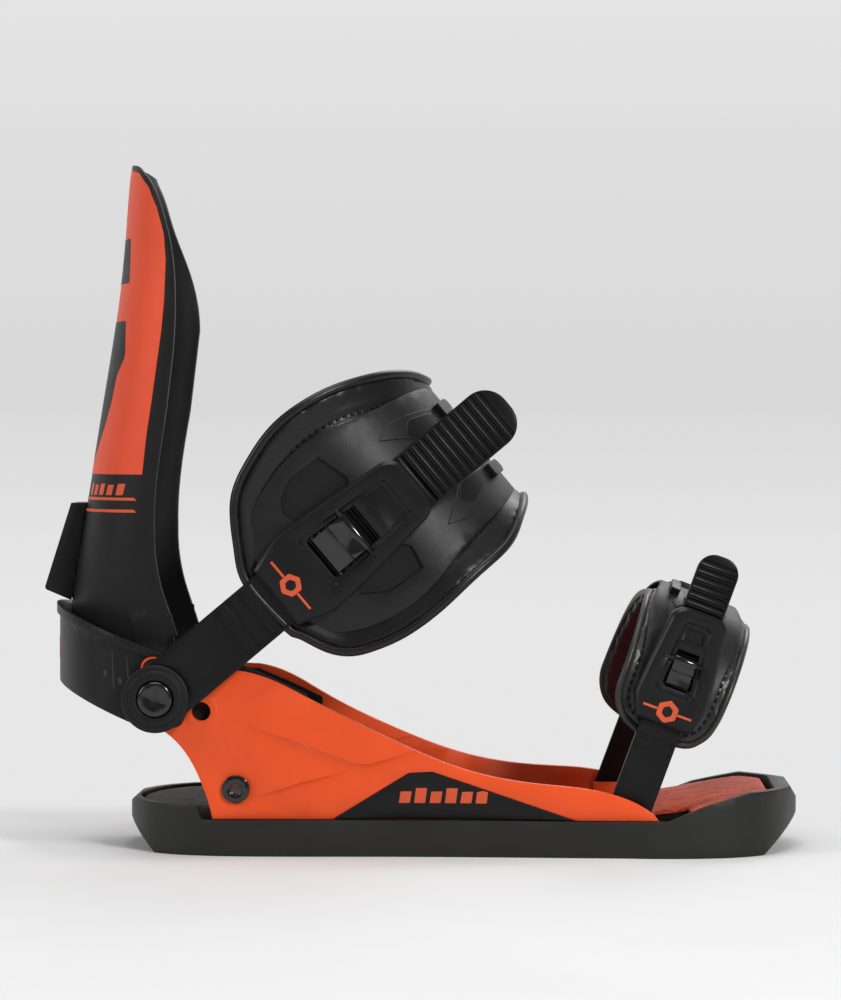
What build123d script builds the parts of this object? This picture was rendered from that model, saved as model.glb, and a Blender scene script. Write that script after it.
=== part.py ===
"""Strap binding for a snowboard, for the left foot, built as an assembly of separate pieces.

Units are millimetres. +X points to the toe, +Z up from the board, and -Y is the inner (medial) side
of the foot, where the strap length adjusters are. The ratchet buckles are on the +Y side.
The origin is the centre of the mounting disc on the plane of the board.
"""
import math
import os

from build123d import *

# ---------------------------------------------------------------- driving dimensions
HEEL_X, TOE_X = -138.6, 146.3          # ends of the sole
SOLE_SKIN = 4.0                        # thickness of the sole skin
LEDGE_Z = 15.0                         # top of the sole skin beside the rails
FLOOR_Z = 9.5                          # top of the baseplate floor
ARM_IN, ARM_OUT = 50.0, 54.2           # inner and outer faces of the rails at the heel
RAIL_FLARE = 8.6                       # how far the rails spread at the toe strap
BOLT = (-122.0, 66.0)                  # ankle strap bolt axis, X and Z
PIVOT = (-123.4, 78.0)                 # highback pivot axis, X and Z
SPARE_HOLE = (-104.3, 60.0)            # second strap position in the arm
EYE = (-89.8, 27.7)                    # hollow side bushing
HOOP_IN, HOOP_OUT = 56.6, 59.3         # heel hoop wall, from the middle plane
HOOP_BACK = -169.2                     # rearmost point of the heel hoop
HOOP_TRAVEL = 6.0                      # heel hoop slides this far each way
DISC_R, TEETH = 46.0, 120              # toothed disc, one tooth every 3 degrees
TOOTH_H = 1.3
SLOT_PITCH, SLOT_R, SLOT_L = 40.0, 3.25, 14.0
CLEAR = 0.3                            # usual gap between loose pieces

ANKLE = dict(x=BOLT[0], z=BOLT[1], angle=40.0, skew=0.0, half=60.0, spring=114.0, crest=167.0,
             pad=5.2, strap=62.6, width=25.4, tip=190.0)
TOE = dict(x=69.6, z=15.5, angle=69.5, skew=3.0, half=51.6, spring=50.0, crest=96.5,
           pad=5.2, strap=54.4, width=17.6, tip=116.0)
STRAP_T = 2.8                          # thickness of the straps and ladders
FRAME_T = 1.2                          # thickness of the moulded strap frames
LATCH_RISE = 5.3                       # latch pin above the underside of the strap
BEYOND = 90.0                          # reach of cutting prisms past the model


# ---------------------------------------------------------------- helpers
def polygon(points):
    """Face in XY through straight corners."""
    return make_face(Polyline(*points, close=True))


def blob(points):
    """Face in XY inside one smooth closed curve."""
    return make_face(Spline(*points, periodic=True))


def pushed_in(points, inset):
    """Points of an open outline moved inward, square to the outline. Ends only move along X."""
    moved = [(points[0][0] + inset, 0)]
    for before, here, after in zip(points, points[1:], points[2:]):
        dx, dy = after[0] - before[0], after[1] - before[1]
        length = math.hypot(dx, dy)
        moved.append((here[0] + inset * dy / length, here[1] - inset * dx / length))
    return moved + [(points[-1][0] - inset, 0)]


def side_prism(face, y0, y1):
    """Extrudes a face drawn as (X, Z) from Y = y0 to Y = y1."""
    frame = Plane(origin=(0, y1, 0), x_dir=(1, 0, 0), z_dir=(0, -1, 0))
    return extrude(face, amount=y1 - y0).moved(frame.location)


def front_prism(face, x0, x1):
    """Extrudes a face drawn as (Y, Z) from X = x0 to X = x1."""
    frame = Plane(origin=(x0, 0, 0), x_dir=(0, 1, 0), z_dir=(1, 0, 0))
    return extrude(face, amount=x1 - x0).moved(frame.location)


def rod_y(r, x, z, y0, y1):
    """Cylinder along Y."""
    frame = Plane(origin=(x, y0, z), z_dir=(0, 1, 0))
    return extrude(Circle(r), amount=y1 - y0).moved(frame.location)


def slab(x0, x1, y0, y1, z0, z1):
    """Box from its corners."""
    return Pos((x0 + x1) / 2, (y0 + y1) / 2, (z0 + z1) / 2) * Box(x1 - x0, y1 - y0, z1 - z0)


def both_sides(shape):
    """The shape and its mirror image across the middle plane."""
    return Compound(children=[*shape.solids(), *mirror(shape, about=Plane.XZ).solids()])


def group(*shapes):
    """Several separate solids kept as one node."""
    return Compound(children=[s for shape in shapes for s in shape.solids()])


def save(name, shape):
    """Writes one node."""
    solids = shape.solids()
    export_step(solids[0] if len(solids) == 1 else Compound(children=solids), f"parts/{name}.step")


# ---------------------------------------------------------------- sole and baseplate
HEEL_HALF = [(HEEL_X, 0), (-134, 26), (-124, 43), (-104, 54), (-70, 58), (-20, 58.5), (40, 62.5)]
INNER_TOE = [(84, 66.5), (112, 64), (132, 50), (142.5, 27), (145.7, 12), (TOE_X, 0)]
OUTER_TOE = [(78, 65), (100, 60), (119, 47), (134, 30), (143, 14), (TOE_X, 0)]


def sole_plan(inset=0.0):
    """Outline of the sole seen from above, fuller at the big toe."""
    inner = [(x, -y) for x, y in pushed_in(HEEL_HALF + INNER_TOE, inset)]
    outer = pushed_in(HEEL_HALF + OUTER_TOE, inset)
    join = len(HEEL_HALF) - 1
    heel = inner[join:0:-1] + outer[:join + 1]
    toe = outer[join:] + inner[-2:join - 1:-1]
    heel_edge = Spline(*heel, tangents=[(-1, 0.07), (1, 0.07)])
    toe_edge = Spline(*toe, tangents=[(1, 0.07), (-1, 0.07)])
    return make_face([heel_edge, toe_edge])


def upright(face, z0, z1):
    """Extrudes a face drawn from above, between two heights."""
    return extrude(face, amount=z1 - z0, dir=(0, 0, 1)).moved(Location((0, 0, z0)))


def inside_skin(gap, z0, z1):
    """Space inside the sole skin between two heights, kept a gap away from the skin."""
    low, knee = SOLE_SKIN, LEDGE_Z + 0.3
    side = polygon([(-134.6 + gap, 90), (-134.6 + gap, knee), (-123.3 + gap, low), (128.5 - gap, low),
                    (135.5 - gap, knee), (135.5 - gap, 90)])
    return upright(sole_plan(SOLE_SKIN + gap), z0, z1) & side_prism(side, -BEYOND, BEYOND)


def sole_skin():
    """Rubbery foam skin under the baseplate, with a raised cup at the heel and the toe."""
    side = polygon([(-139, 14), (-125, 0), (130, 0), (147, 15), (147, 19), (142.5, 26.5), (124, 26.5),
                    (104, 21), (90, LEDGE_Z), (-104, LEDGE_Z), (-107, 21),
                    (-136, 21), (-139, 18)])
    body = upright(sole_plan(), 0, 30) - inside_skin(0, SOLE_SKIN, 60)
    return (body & side_prism(side, -BEYOND, BEYOND)) - Cylinder(DISC_R - 4.5, 30)


def rail_plan():
    """Footprint of the -Y rail: straight beside the heel and flared at the toe strap."""
    flare = RAIL_FLARE
    inner = [(-60, -ARM_IN), (0, -ARM_IN - 1), (45, -ARM_IN - 0.8 * flare), (75, -ARM_IN - flare),
             (88, -ARM_IN - flare)]
    outer = [(x, y - (ARM_OUT - ARM_IN)) for x, y in inner]
    edges = [Line((-150, -ARM_IN), inner[0]), Spline(*inner, tangents=[(1, 0), (1, 0)]),
             Line(inner[-1], outer[-1]), Spline(*outer[::-1], tangents=[(-1, 0), (-1, 0)]),
             Line(outer[0], (-150, -ARM_OUT)), Line((-150, -ARM_OUT), (-150, -ARM_IN))]
    return make_face(edges)


INNER_CREST = [(-88, 76.6), (-60, 65.5), (-27, 49.2), (5, 36), (36, 30.2), (62, 27.2), (80, 20.5),
               (86.5, 14)]
OUTER_CREST = [(-88, 73.5), (-60, 61), (-27, 44.7), (5, 33), (36, 28), (62, 25.6), (80, 19.5), (86.5, 14)]


def rail_side(crest_points):
    """Side outline of a rail: arm up to the strap bolt, crest sweeping down to the toe."""
    arm_top = PIVOT[1] - 6.2
    crest = Spline(*crest_points, tangents=[(1, -0.15), (0.5, -1)])
    back = Spline((-131, 57.5), (-118, 50.5), (-108, 38.5), (-102.5, 26), (-99.3, 14),
                  tangents=[(1, -0.4), (0.15, -1)])
    foot = Polyline((86.5, 14), (86.5, SOLE_SKIN), (-99.3, SOLE_SKIN), (-99.3, 14))
    top = Polyline((-131, arm_top), (-112, arm_top), (-99, crest_points[0][1] + 0.4), crest_points[0])
    return make_face([ThreePointArc((-131, 57.5), (-134.5, 66), (-131, arm_top)), top, crest, foot, back])


def panel_side():
    """Outline of the black panel set into the side of each rail."""
    return polygon([(-50, 5), (-50, LEDGE_Z), (-18, 34.5), (-8, 35), (53, LEDGE_Z), (53, 5)])


def rail(crest_points):
    """One side rail with its holes and the recess for the black panel, built on the -Y side."""
    body = upright(rail_plan(), 0, 100) & side_prism(rail_side(crest_points), -BEYOND, 0)
    recess = upright(rail_plan().moved(Location((0, -3.2, 0))), 0, 60)
    body -= side_prism(panel_side(), -BEYOND, 0) & recess
    for (x, z), r in ((BOLT, 4.9), (SPARE_HOLE, 4.0), (EYE, 4.1)):
        body -= rod_y(r, x, z, -BEYOND, 0)
    body -= rod_y(5.75, *BOLT, -ARM_IN - 1.35, 0)
    return body + rod_y(7.0, *SPARE_HOLE, -ARM_OUT - 0.2, -ARM_OUT) - rod_y(4.0, *SPARE_HOLE, -BEYOND, 0)


def baseplate():
    """Moulded nylon chassis: floor with the toothed disc seat, and two side rails."""
    floor = inside_skin(2 * CLEAR, SOLE_SKIN, FLOOR_Z)
    floor = floor + rail(INNER_CREST) + mirror(rail(OUTER_CREST), about=Plane.XZ)
    above_ledge = slab(-150, 100, -BEYOND, BEYOND, LEDGE_Z + CLEAR, 90)
    floor &= inside_skin(2 * CLEAR, SOLE_SKIN, LEDGE_Z + CLEAR) + above_ledge
    floor -= Cylinder(DISC_R - 4.5, 60)
    floor -= upright(star(DISC_R + 0.15), 5.5, 40)
    lug, well = slab(-7, 7, -6.0, -4.2, SOLE_SKIN, 21), slab(-11.5, 11.5, -4.2, 3.6, 5.6, 20)
    for side in (-1, 1):
        pin = toe_anchor(side)
        place = Pos(pin.X, pin.Y, 0) * Rot(0, 0, TOE["skew"])
        floor -= place * (well if side > 0 else mirror(well, about=Plane.XZ))
        floor += place * (lug if side > 0 else mirror(lug, about=Plane.XZ))
        floor -= toe_pin(side, 2.5 + 0.02)
    return floor


def star(radius):
    """Toothed circle with one tooth every 3 degrees."""
    points = []
    for i in range(2 * TEETH):
        r = radius if i % 2 == 0 else radius - TOOTH_H
        a = math.pi * (i + 0.5) / TEETH
        points.append((r * math.cos(a), r * math.sin(a)))
    return polygon(points)


def side_panel():
    """Black panel on the -Y rail, following its flare."""
    skin = upright(rail_plan().moved(Location((0, -0.3, 0))), 0, 60)
    skin &= upright(rail_plan().moved(Location((0, -3.25, 0))), 0, 60)
    face = offset(panel_side(), amount=-0.25)
    return skin & side_prism(face, -BEYOND, 0) & slab(-60, 60, -BEYOND, 0, LEDGE_Z + 0.3, 60)


def arm_liner(rise):
    """Thin foam liner inside the -Y arm. rise lifts its top edge."""
    shape = polygon([(-98, 34.5), (-98, 52), (-111, 52), (-111, 69), (-98, 69), (-98, 76.4 + rise),
                     (-88, 76.2 + rise), (-74, 70.2 + rise), (-60, 63.6 + rise), (-60, 34.5)])
    return side_prism(shape, -ARM_IN + 0.1, -ARM_IN + 1.7)


# ---------------------------------------------------------------- footbed, ramp and disc
def heel_footbed():
    pad = inside_skin(0.5, FLOOR_Z + 0.1, 20.0)
    return pad & (slab(-137, -103.5, -BEYOND, BEYOND, 0, 60) + slab(-137, -63, -47.8, 47.8, 0, 60))


def arch_footbed():
    return slab(-62, 58, -47.8, 47.8, FLOOR_Z + 0.1, 13.0) - Cylinder(DISC_R + 2.0, 60)


RAMP = [(70, 9.7), (70, 13.5), (102, 17.6), (137, 22.4), (137, 9.7)]


def ramp_plate():
    """Sliding wedge under the toes."""
    body = inside_skin(2.4, 9.7, 40) & side_prism(polygon(RAMP), -BEYOND, BEYOND)
    body -= slab(60, 98, 47.6, BEYOND, 0, 60) + slab(60, 98, -BEYOND, -47.6, 0, 60)
    return body


def ramp_pad():
    """Foam tread on the wedge."""
    band = polygon([(70.5, 13.7), (102, 17.75), (137, 22.55), (137, 25.0), (102, 20.2), (70.5, 15.8)])
    body = inside_skin(2.8, 9.7, 40) & side_prism(band, -BEYOND, BEYOND)
    body -= slab(60, 98.5, 47.2, BEYOND, 0, 60) + slab(60, 98.5, -BEYOND, -47.2, 0, 60)
    return body


def slot_prism(radius, length, z0, z1):
    """Slot along X at the four screw places."""
    half = SLOT_PITCH / 2
    places = [Pos(x, y, z0) for x in (-half, half) for y in (-half, half)]
    return [p * extrude(SlotOverall(length, 2 * radius), amount=z1 - z0) for p in places]


def mounting_disc():
    """Disc that clamps the binding to the board with four screws."""
    disc = Cylinder(DISC_R - 4.9, 5.7, align=(Align.CENTER, Align.CENTER, Align.MIN))
    disc += upright(star(DISC_R - 0.15), 5.7, 9.1)
    for hole in slot_prism(SLOT_R, SLOT_L, -1, 12):
        disc -= hole
    for seat in slot_prism(6.4, SLOT_L + 6.3, 4.6, 12):
        disc -= seat
    return disc - Pos(0, 0, 7.6) * Cylinder(9.0, 3, align=(Align.CENTER, Align.CENTER, Align.MIN))


# ---------------------------------------------------------------- heel hoop
def hoop_ring(outer, back, thick, height):
    """U-shaped wall around the heel, from above, extruded up."""
    front, spring = -106.0, -132.0
    edges = []
    for grow, reverse in ((0.0, False), (thick, True)):
        y, x = outer - grow, spring - back - grow
        arc = EllipticalCenterArc((spring, 0), x, y, start_angle=90, arc_size=180)
        edges += [Line((front, y), (spring, y)), arc, Line((spring, -y), (front, -y))]
    edges += [Line((front, y), (front, y - math.copysign(thick, y))) for y in (outer, -outer)]
    return extrude(make_face(edges), amount=height)


def heel_hoop():
    """Heel hoop with a lip along its top and a slot for the strap bolt."""
    wall = make_face([Line((-172, 72.5), (-172, 104.6)), Line((-172, 104.6), (-118, 83.6)),
                      Spline((-118, 83.6), (-107.5, 73), (-111, 57), (-124, 52.4),
                             tangents=[(1, -0.4), (-1, -0.1)]),
                      Line((-124, 52.4), (-130, 54.4)), Line((-130, 54.4), (-172, 72.5))])
    hoop = hoop_ring(HOOP_OUT, HOOP_BACK, HOOP_OUT - HOOP_IN, 120) & side_prism(wall, -BEYOND, BEYOND)
    lip = polygon([(-173, 101.2), (-173, 105), (-118, 83.6), (-118, 79.8)])
    hoop += hoop_ring(HOOP_OUT + 1.3, HOOP_BACK - 1.3, HOOP_OUT - HOOP_IN + 1.3, 120) & side_prism(
        lip, -BEYOND, BEYOND)
    for side in (-1, 1):
        y0, y1 = sorted((side * 50, side * 66))
        hoop -= rod_y(5.45, *PIVOT, y0, y1)
        hoop -= rod_y(4.4, BOLT[0] - HOOP_TRAVEL, BOLT[1], y0, y1)
        hoop -= rod_y(4.4, BOLT[0] + HOOP_TRAVEL, BOLT[1], y0, y1)
        hoop -= slab(BOLT[0] - HOOP_TRAVEL, BOLT[0] + HOOP_TRAVEL, y0, y1, BOLT[1] - 4.4, BOLT[1] + 4.4)
    return hoop


def pivot_bushing():
    """Nylon bush that carries the highback in the -Y side of the hoop."""
    return rod_y(5.4, *PIVOT, -HOOP_OUT - 0.8, -49.7) - rod_y(2.55, *PIVOT, -BEYOND, 0)


def pivot_bolt():
    """Bolt through the bush and the highback's ear."""
    head = -HOOP_OUT - 0.85
    bolt = rod_y(2.5, *PIVOT, head, -44.0) + rod_y(4.4, *PIVOT, head - 1.5, head)
    bolt += rod_y(5.0, *PIVOT, -46.2, -44.0)
    return bolt - rod_y(1.5, *PIVOT, head - 2, head - 0.4)


# ---------------------------------------------------------------- highback
# height, X of the spine, X of the front edges, half width
SHELL_ROWS = [(80, -165.2, -114, 49.4), (104, -164.4, -119, 50.2), (128, -160.6, -124, 51.4),
              (156, -155.9, -122.5, 52.6), (188, -150.7, -118.6, 53.4), (222, -145.2, -114.6, 53.6),
              (256, -141.2, -113.6, 53.0), (292, -137.6, -116.0, 52.0)]
SHELL_T = 4.0


def shell_section(row, inset, thick):
    """Curved band across the highback at one height."""
    z, spine, front, half = row
    edges = []
    for grow in (inset, inset + thick):
        edges.append(EllipticalCenterArc((front, 0), front - spine - grow, half - grow,
                                         start_angle=90, arc_size=180))
    edges += [Line((front, half - inset), (front, half - inset - thick)),
              Line((front, -half + inset), (front, -half + inset + thick))]
    return make_face(edges).moved(Location((0, 0, z)))


def shell_loft(inset, thick):
    return loft([shell_section(row, inset, thick) for row in SHELL_ROWS])


INNER_EDGE = [(-112, 92), (-118, 104), (-124.2, 141), (-119, 185), (-115.2, 232), (-117.6, 257),
              (-121.8, 272), (-126.3, 281.5), (-131, 287)]
OUTER_EDGE = [(-112, 92), (-118, 104), (-124.2, 141), (-119, 185), (-115.2, 230), (-120, 250),
              (-124.4, 262), (-127.4, 272), (-130, 281), (-132, 286.5)]


def highback_side(edge, top=(-137.6, 289.8)):
    """Side outline of the highback: swept front edge and rounded top corner."""
    front = Spline(*edge, top, tangents=[(-0.5, 1), (-1, 0.3)])
    rest = Polyline(top, (-180, top[1]), (-180, 82), (-150, 82), (-128, 88), edge[0])
    return make_face([front, rest])


def highback_shell():
    """Curved highback with an ear each side for the pivots."""
    keep = side_prism(highback_side(INNER_EDGE), -BEYOND, 0)
    keep += side_prism(highback_side(OUTER_EDGE), 0, BEYOND)
    shell = shell_loft(0, SHELL_T) & keep
    for side in (-1, 1):
        y0, y1 = sorted((side * 46.4, side * 49.4))
        ear = rod_y(8.5, *PIVOT, y0, y1)
        neck = polygon([(-131.5, 80), (-134, 100), (-117, 100), (-115.2, 80)])
        ear += side_prism(neck, y0, y1) & shell_side_limit()
        shell += ear
        shell -= rod_y(2.6, *PIVOT, *sorted((side * 40, side * 60)))
    return shell


def shell_side_limit():
    """Keeps the ears inside the outer skin of the highback."""
    return loft([shell_section_full(row) for row in SHELL_ROWS[:3]])


def shell_section_full(row):
    z, spine, front, half = row
    arc = EllipticalCenterArc((front, 0), front - spine, half, start_angle=90, arc_size=180)
    box = Polyline((front, -half), (front + 10, -half), (front + 10, half), (front, half))
    return make_face([arc, box]).moved(Location((0, 0, z)))


def highback_pad():
    """Foam pad glued to the front of the highback."""
    outline = fillet((Pos(0, 188) * Rectangle(66, 148)).vertices(), 24)
    return shell_loft(SHELL_T + 0.1, 3.6) & front_prism(outline, -200, -90)


LEAN_SEAT = Plane(origin=(-167.0, 0, 127), x_dir=(0, 1, 0), z_dir=(-1, 0, 0.165))


def lean_block():
    """Forward lean stop that slides on the spine and rests on the hoop."""
    shape = polygon([(-163.6, 146), (-150, 146), (-158, 103.4), (-163.8, 104.6), (-175, 109.4)])
    block = side_prism(shape, -13, 13)
    block = fillet(block.edges().filter_by(Axis.Y).group_by(Axis.X)[0], 1.5)
    block -= loft([shell_section_full((z, s - 0.55, f, h + 0.55)) for z, s, f, h in SHELL_ROWS[:5]])
    return block - extrude(Circle(3.8), amount=20).moved(LEAN_SEAT.location)


def lean_screw():
    """Screw that clamps the stop, seated in its pocket."""
    screw = extrude(Circle(3.4), amount=2.4) - Pos(0, 0, 1.2) * extrude(RegularPolygon(1.9, 6), amount=3)
    return screw.moved(Location((0, 0, 0.05))).moved(LEAN_SEAT.location)


# ---------------------------------------------------------------- strap loops
def on_side(loop, side, shape):
    """Places a shape drawn in strap axes (along, across, outward) on one side of the binding."""
    a = math.radians(loop["angle"])
    along = (math.cos(a), 0, math.sin(a))
    frame = Plane(origin=(loop["x"], 0, loop["z"]), x_dir=along, z_dir=(0, side, 0))
    turn = Pos(loop["x"], 0, 0) * Rot(0, 0, loop["skew"]) * Pos(-loop["x"], 0, 0)
    return turn * shape.moved(frame.location)


def toe_anchor(side):
    """Centre of the toe strap pin, on its side of the base."""
    a, reach = math.radians(TOE["skew"]), side * TOE["strap"]
    return Vector(TOE["x"] - reach * math.sin(a), reach * math.cos(a), TOE["z"])


def toe_pin(side, r):
    """Pin of the toe strap, from inside the rail."""
    pin = extrude(Circle(r), amount=12.0).moved(Location((0, 0, TOE["strap"] - 5.8)))
    return on_side(TOE, side, pin)


def arch(loop, outer, thick, start):
    """Band that goes up one side, over the foot and down the other, in strap axes."""
    rise = loop["crest"] - loop["spring"] - (loop["half"] - outer)
    edges = []
    for grow in (0.0, thick):
        y, x = outer - grow, rise - grow
        arc = EllipticalCenterArc((loop["spring"], 0), x, y, start_angle=-90, arc_size=180)
        edges += [Line((start, -y), (loop["spring"], -y)), arc, Line((loop["spring"], y), (start, y))]
    edges += [Line((start, y), (start, y - math.copysign(thick, y))) for y in (outer, -outer)]
    band = extrude(make_face(edges), amount=70, both=True)
    return band.moved(Location((0, 0, 0), (90, 0, 0)))


def across(face):
    """Prism of an (along, across) outline through both sides of the loop."""
    return extrude(face, amount=BEYOND, both=True)


ANKLE_PAD = [(60, -14), (65, -27), (77, -39), (95, -46), (118, -48), (142, -45.5), (160, -41),
             (174, -35), (174, 30), (160, 38), (144, 47), (118, 54.5), (97, 52), (80, 45), (68, 33),
             (61, 14)]
ANKLE_FRAME = [(63, -10), (72, -25), (92, -36), (118, -38), (145, -33), (172, -27), (172, 25),
               (145, 34), (118, 41), (93, 39), (72, 27), (64, 10)]
TOE_PAD = [(35.5, -9), (37.5, -17), (44, -21.5), (60, -23.5), (90, -25.5), (100, -25), (100, 20),
           (89, 21), (66, 21), (46, 20), (38, 15), (35, 4)]
TOE_FRAME = [(40, -8), (48, -15), (68, -18.5), (98, -17.5), (98, 15.5), (68, 17), (48, 14), (40, 7)]
ANKLE_WINDOWS = [[(91, 16), (89, 25), (92, 30), (100, 34), (115.5, 33.5), (119.4, 19), (117, 16)],
                 [(92, -16), (92, -21), (102, -28), (119.5, -29.5), (121.5, -19.5), (119, -16)]]
TOE_WINDOWS = [[(86, -12), (86, 10), (94, 8), (94, -10)]]


def strap_pad(loop, outline):
    return on_side(loop, -1, arch(loop, loop["half"], loop["pad"], 20) & across(blob(outline)))


def strap_frame(loop, outline, windows):
    """Moulded outer frame of a strap, with windows."""
    band = arch(loop, loop["half"] + FRAME_T + 0.1, FRAME_T, 20) & across(blob(outline))
    for window in windows:
        band -= across(polygon(window))
    return on_side(loop, -1, band)


def strap_outline(length, width, r_end):
    """Strap from its round anchor end to its rounded tip."""
    body = Pos(length / 2, 0) * Rectangle(length, width)
    body = fillet(body.vertices().group_by(Axis.X)[-1], r_end)
    return body + Circle(width / 2)


def grooves(first, last, pitch, wide, deep, width, top):
    """Square cross grooves cut into the outer face of a strap."""
    count = int((last - first) / pitch)
    return [Pos(first + i * pitch, 0, top) * Box(wide, width, 2 * deep) for i in range(count + 1)]


def waves(first, last, pitch, radius, lift, width, top):
    """Round cross grooves that leave rounded ribs. lift is the height of their axes above the face."""
    count = int((last - first) / pitch)
    return [cross_pin(first + i * pitch, top + lift, radius, width) for i in range(count + 1)]


def tongue(loop, flex, teeth):
    """Ribbed length-adjusting strap of the -Y side."""
    w0 = loop["strap"]
    body = extrude(strap_outline(loop["tip"], loop["width"], loop["width"] * 0.42), amount=STRAP_T)
    body = body.moved(Location((0, 0, w0)))
    top = w0 + STRAP_T
    cuts = grooves(*flex, loop["width"] - 3, top) + waves(*teeth, loop["width"] - 1.6, top)
    body -= cuts
    return body


def ladder(loop, last):
    """Toothed ladder strap of the +Y side."""
    width, w0 = loop["width"] - 3, loop["strap"]
    body = extrude(strap_outline(last, width, width * 0.4), amount=STRAP_T).moved(Location((0, 0, w0)))
    body -= grooves(last - 62, last - 6, 3.2, 1.3, 0.9, width - 6, w0 + STRAP_T)
    return body


def adjuster(loop, u0, size):
    """Adjuster housing around the tongue. size holds length, mouth, waist and end widths."""
    length, mouth, waist, end = size
    base = loop["half"] + FRAME_T + 0.2
    top = loop["strap"] + STRAP_T + 3.6
    edge = [(u0, mouth / 2), (u0 + 0.2 * length, waist / 2), (u0 + 0.5 * length, waist * 0.46),
            (u0 + length, end / 2)]
    outline = polygon([(u, -v) for u, v in edge] + edge[::-1])
    outline = fillet(outline.vertices().group_by(Axis.X)[-1], end * 0.3)
    body = extrude(outline, amount=top - base).moved(Location((0, 0, base)))
    body = chamfer(body.faces().sort_by(Axis.Z)[-1].edges(), 1.6)
    channel = loop["width"] / 2 + 0.3
    tunnel = Box(2 * length, 2 * channel, STRAP_T + 0.7)
    body -= Pos(u0 + length / 2, 0, loop["strap"] + STRAP_T / 2) * tunnel
    w = loop["width"] / 2 - 3.2
    sill = loop["strap"] + STRAP_T
    well, plate, far = u0 + 0.32 * length, u0 + 0.65 * length, u0 + 0.84 * length
    window = polygon([(well, -w - 1), (far, -w + 2), (far, w - 2), (well, w + 1)])
    window = fillet(window.vertices().group_by(Axis.X)[0], 2.6)
    body -= extrude(window, amount=30).moved(Location((0, 0, sill + 1.7)))
    near_half = window & Pos(plate - 25, 0) * Rectangle(50, 50)
    body -= extrude(near_half, amount=30).moved(Location((0, 0, sill - 1.8)))
    dish = polygon([(well - 1.8, -w - 2.4), (far + 1.8, -w + 0.6), (far + 1.8, w - 0.6),
                    (well - 1.8, w + 2.4)])
    dish = fillet(dish.vertices(), 2.0)
    body -= extrude(dish, amount=1.2, taper=-40).moved(Location((0, 0, top - 0.9)))
    rib = Pos(plate + 0.04 * length, 0, sill + 2.2) * Box(0.075 * length, 2 * w - 1.2, 1.8)
    body += rib
    return body - cross_pin(u0 + 0.56 * length, loop["strap"] + LATCH_RISE, 1.22, loop["width"] + 1.6)


def cross_pin(u, w, r, length):
    """Pin across a strap, centred on it."""
    pin = extrude(Circle(r), amount=length / 2, both=True)
    return pin.moved(Location((0, 0, 0), (90, 0, 0))).moved(Location((u, 0, w)))


def latch(loop, u0, length):
    """Flip latch in the adjuster's window: thumb shelf, saddle-shaped bar and a hub on the pin."""
    hinge, height = u0 + 0.56 * length, loop["strap"] + LATCH_RISE
    w = loop["width"] / 2 - 3.2 - 0.9
    edge, bar = hinge - 0.205 * length, hinge - 0.1 * length
    shelf = side_prism(polygon([(edge, height - 0.5), (edge, height + 0.7), (bar, height + 0.2),
                                (hinge, height + 0.6), (hinge, height - 0.6)]), -w, w)
    bridge = side_prism(polygon([(bar, height), (bar + 0.8, height + 2.6), (hinge - 0.9, height + 2.6),
                                 (hinge, height)]), -w, w)
    bridge -= Pos(hinge - 0.05 * length, 0, height + 2.6 + 18.0) * Rot(0, 90, 0) * Cylinder(19.2, 30)
    body = shelf + bridge + cross_pin(hinge, height, 2.2, 2 * w)
    return body - cross_pin(hinge, height, 1.25, 4 * w)


def buckle_base(loop, u0, cheek):
    """Channel of the ratchet buckle: floor under the ladder and two cheeks."""
    width, base = loop["width"] - 3, loop["half"] + FRAME_T + 0.2
    top = loop["strap"] + 9.6
    half = width / 2 + 0.6
    side = polygon([(u0, base), (u0, top - 4), (u0 + 5, top), (u0 + cheek - 8, top),
                    (u0 + cheek, top - 6), (u0 + cheek + 8, base)])
    shape = side_prism(side, -half - 1.8, half + 1.8)
    shape -= Pos(u0 + cheek / 2, 0, 50 + loop["strap"] - 0.3) * Box(4 * cheek, 2 * half, 100)
    for u, w in buckle_axes(loop, u0):
        shape -= cross_pin(u, w, 1.52, 3 * width)
    return shape


def buckle_axes(loop, u0):
    """Pin places of the release pawl and the ratchet lever."""
    return (u0 + 7.5, loop["strap"] + 6.6), (u0 + 23.0, loop["strap"] + 6.9)


def buckle_pins(loop, u0):
    width = loop["width"] - 3
    return [cross_pin(u, w, 1.5, width + 5.6) for u, w in buckle_axes(loop, u0)]


def ratchet_lever(loop, u0, reach):
    """Hand lever with its drive tooth, closed flat along the strap."""
    u, w = buckle_axes(loop, u0)[1]
    width = loop["width"] - 3
    half = width / 2 - 3.2
    lip = loop["strap"] + STRAP_T + 0.25
    hub = cross_pin(u, w, 3.3, 2 * half)
    tooth = polygon([(u - 2.8, w), (u - 0.4, lip), (u + 0.9, lip + 0.2), (u + 2.8, w)])
    arm = side_prism(polygon([(u - 2, w + 0.5), (u - 1.5, w + 3.6), (u + 4, w + 4.6), (u + 8, w + 4.6),
                              (u + 8, w + 3.0), (u + 3, w)]), -half, half)
    middle, end = u + reach * 0.55, u + reach
    plate = make_face([Line((u + 4, w + 3.0), (u + 4, w + 4.8)),
                       Spline((u + 4, w + 4.8), (middle, w + 6.0), (end, w + 4.0)),
                       Line((end, w + 4.0), (end, w + 2.4)),
                       Spline((end, w + 2.4), (middle, w + 4.2), (u + 4, w + 3.0))])
    plate = side_prism(plate, -width / 2 - 2, width / 2 + 2)
    outline = fillet(Rectangle(2 * reach, width + 4).vertices(), 7)
    plate &= extrude(outline, amount=200).moved(Location((u, 0, 0)))
    body = hub + side_prism(tooth, -half, half) + arm + plate
    return body - cross_pin(u, w, 1.55, 3 * width)


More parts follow.
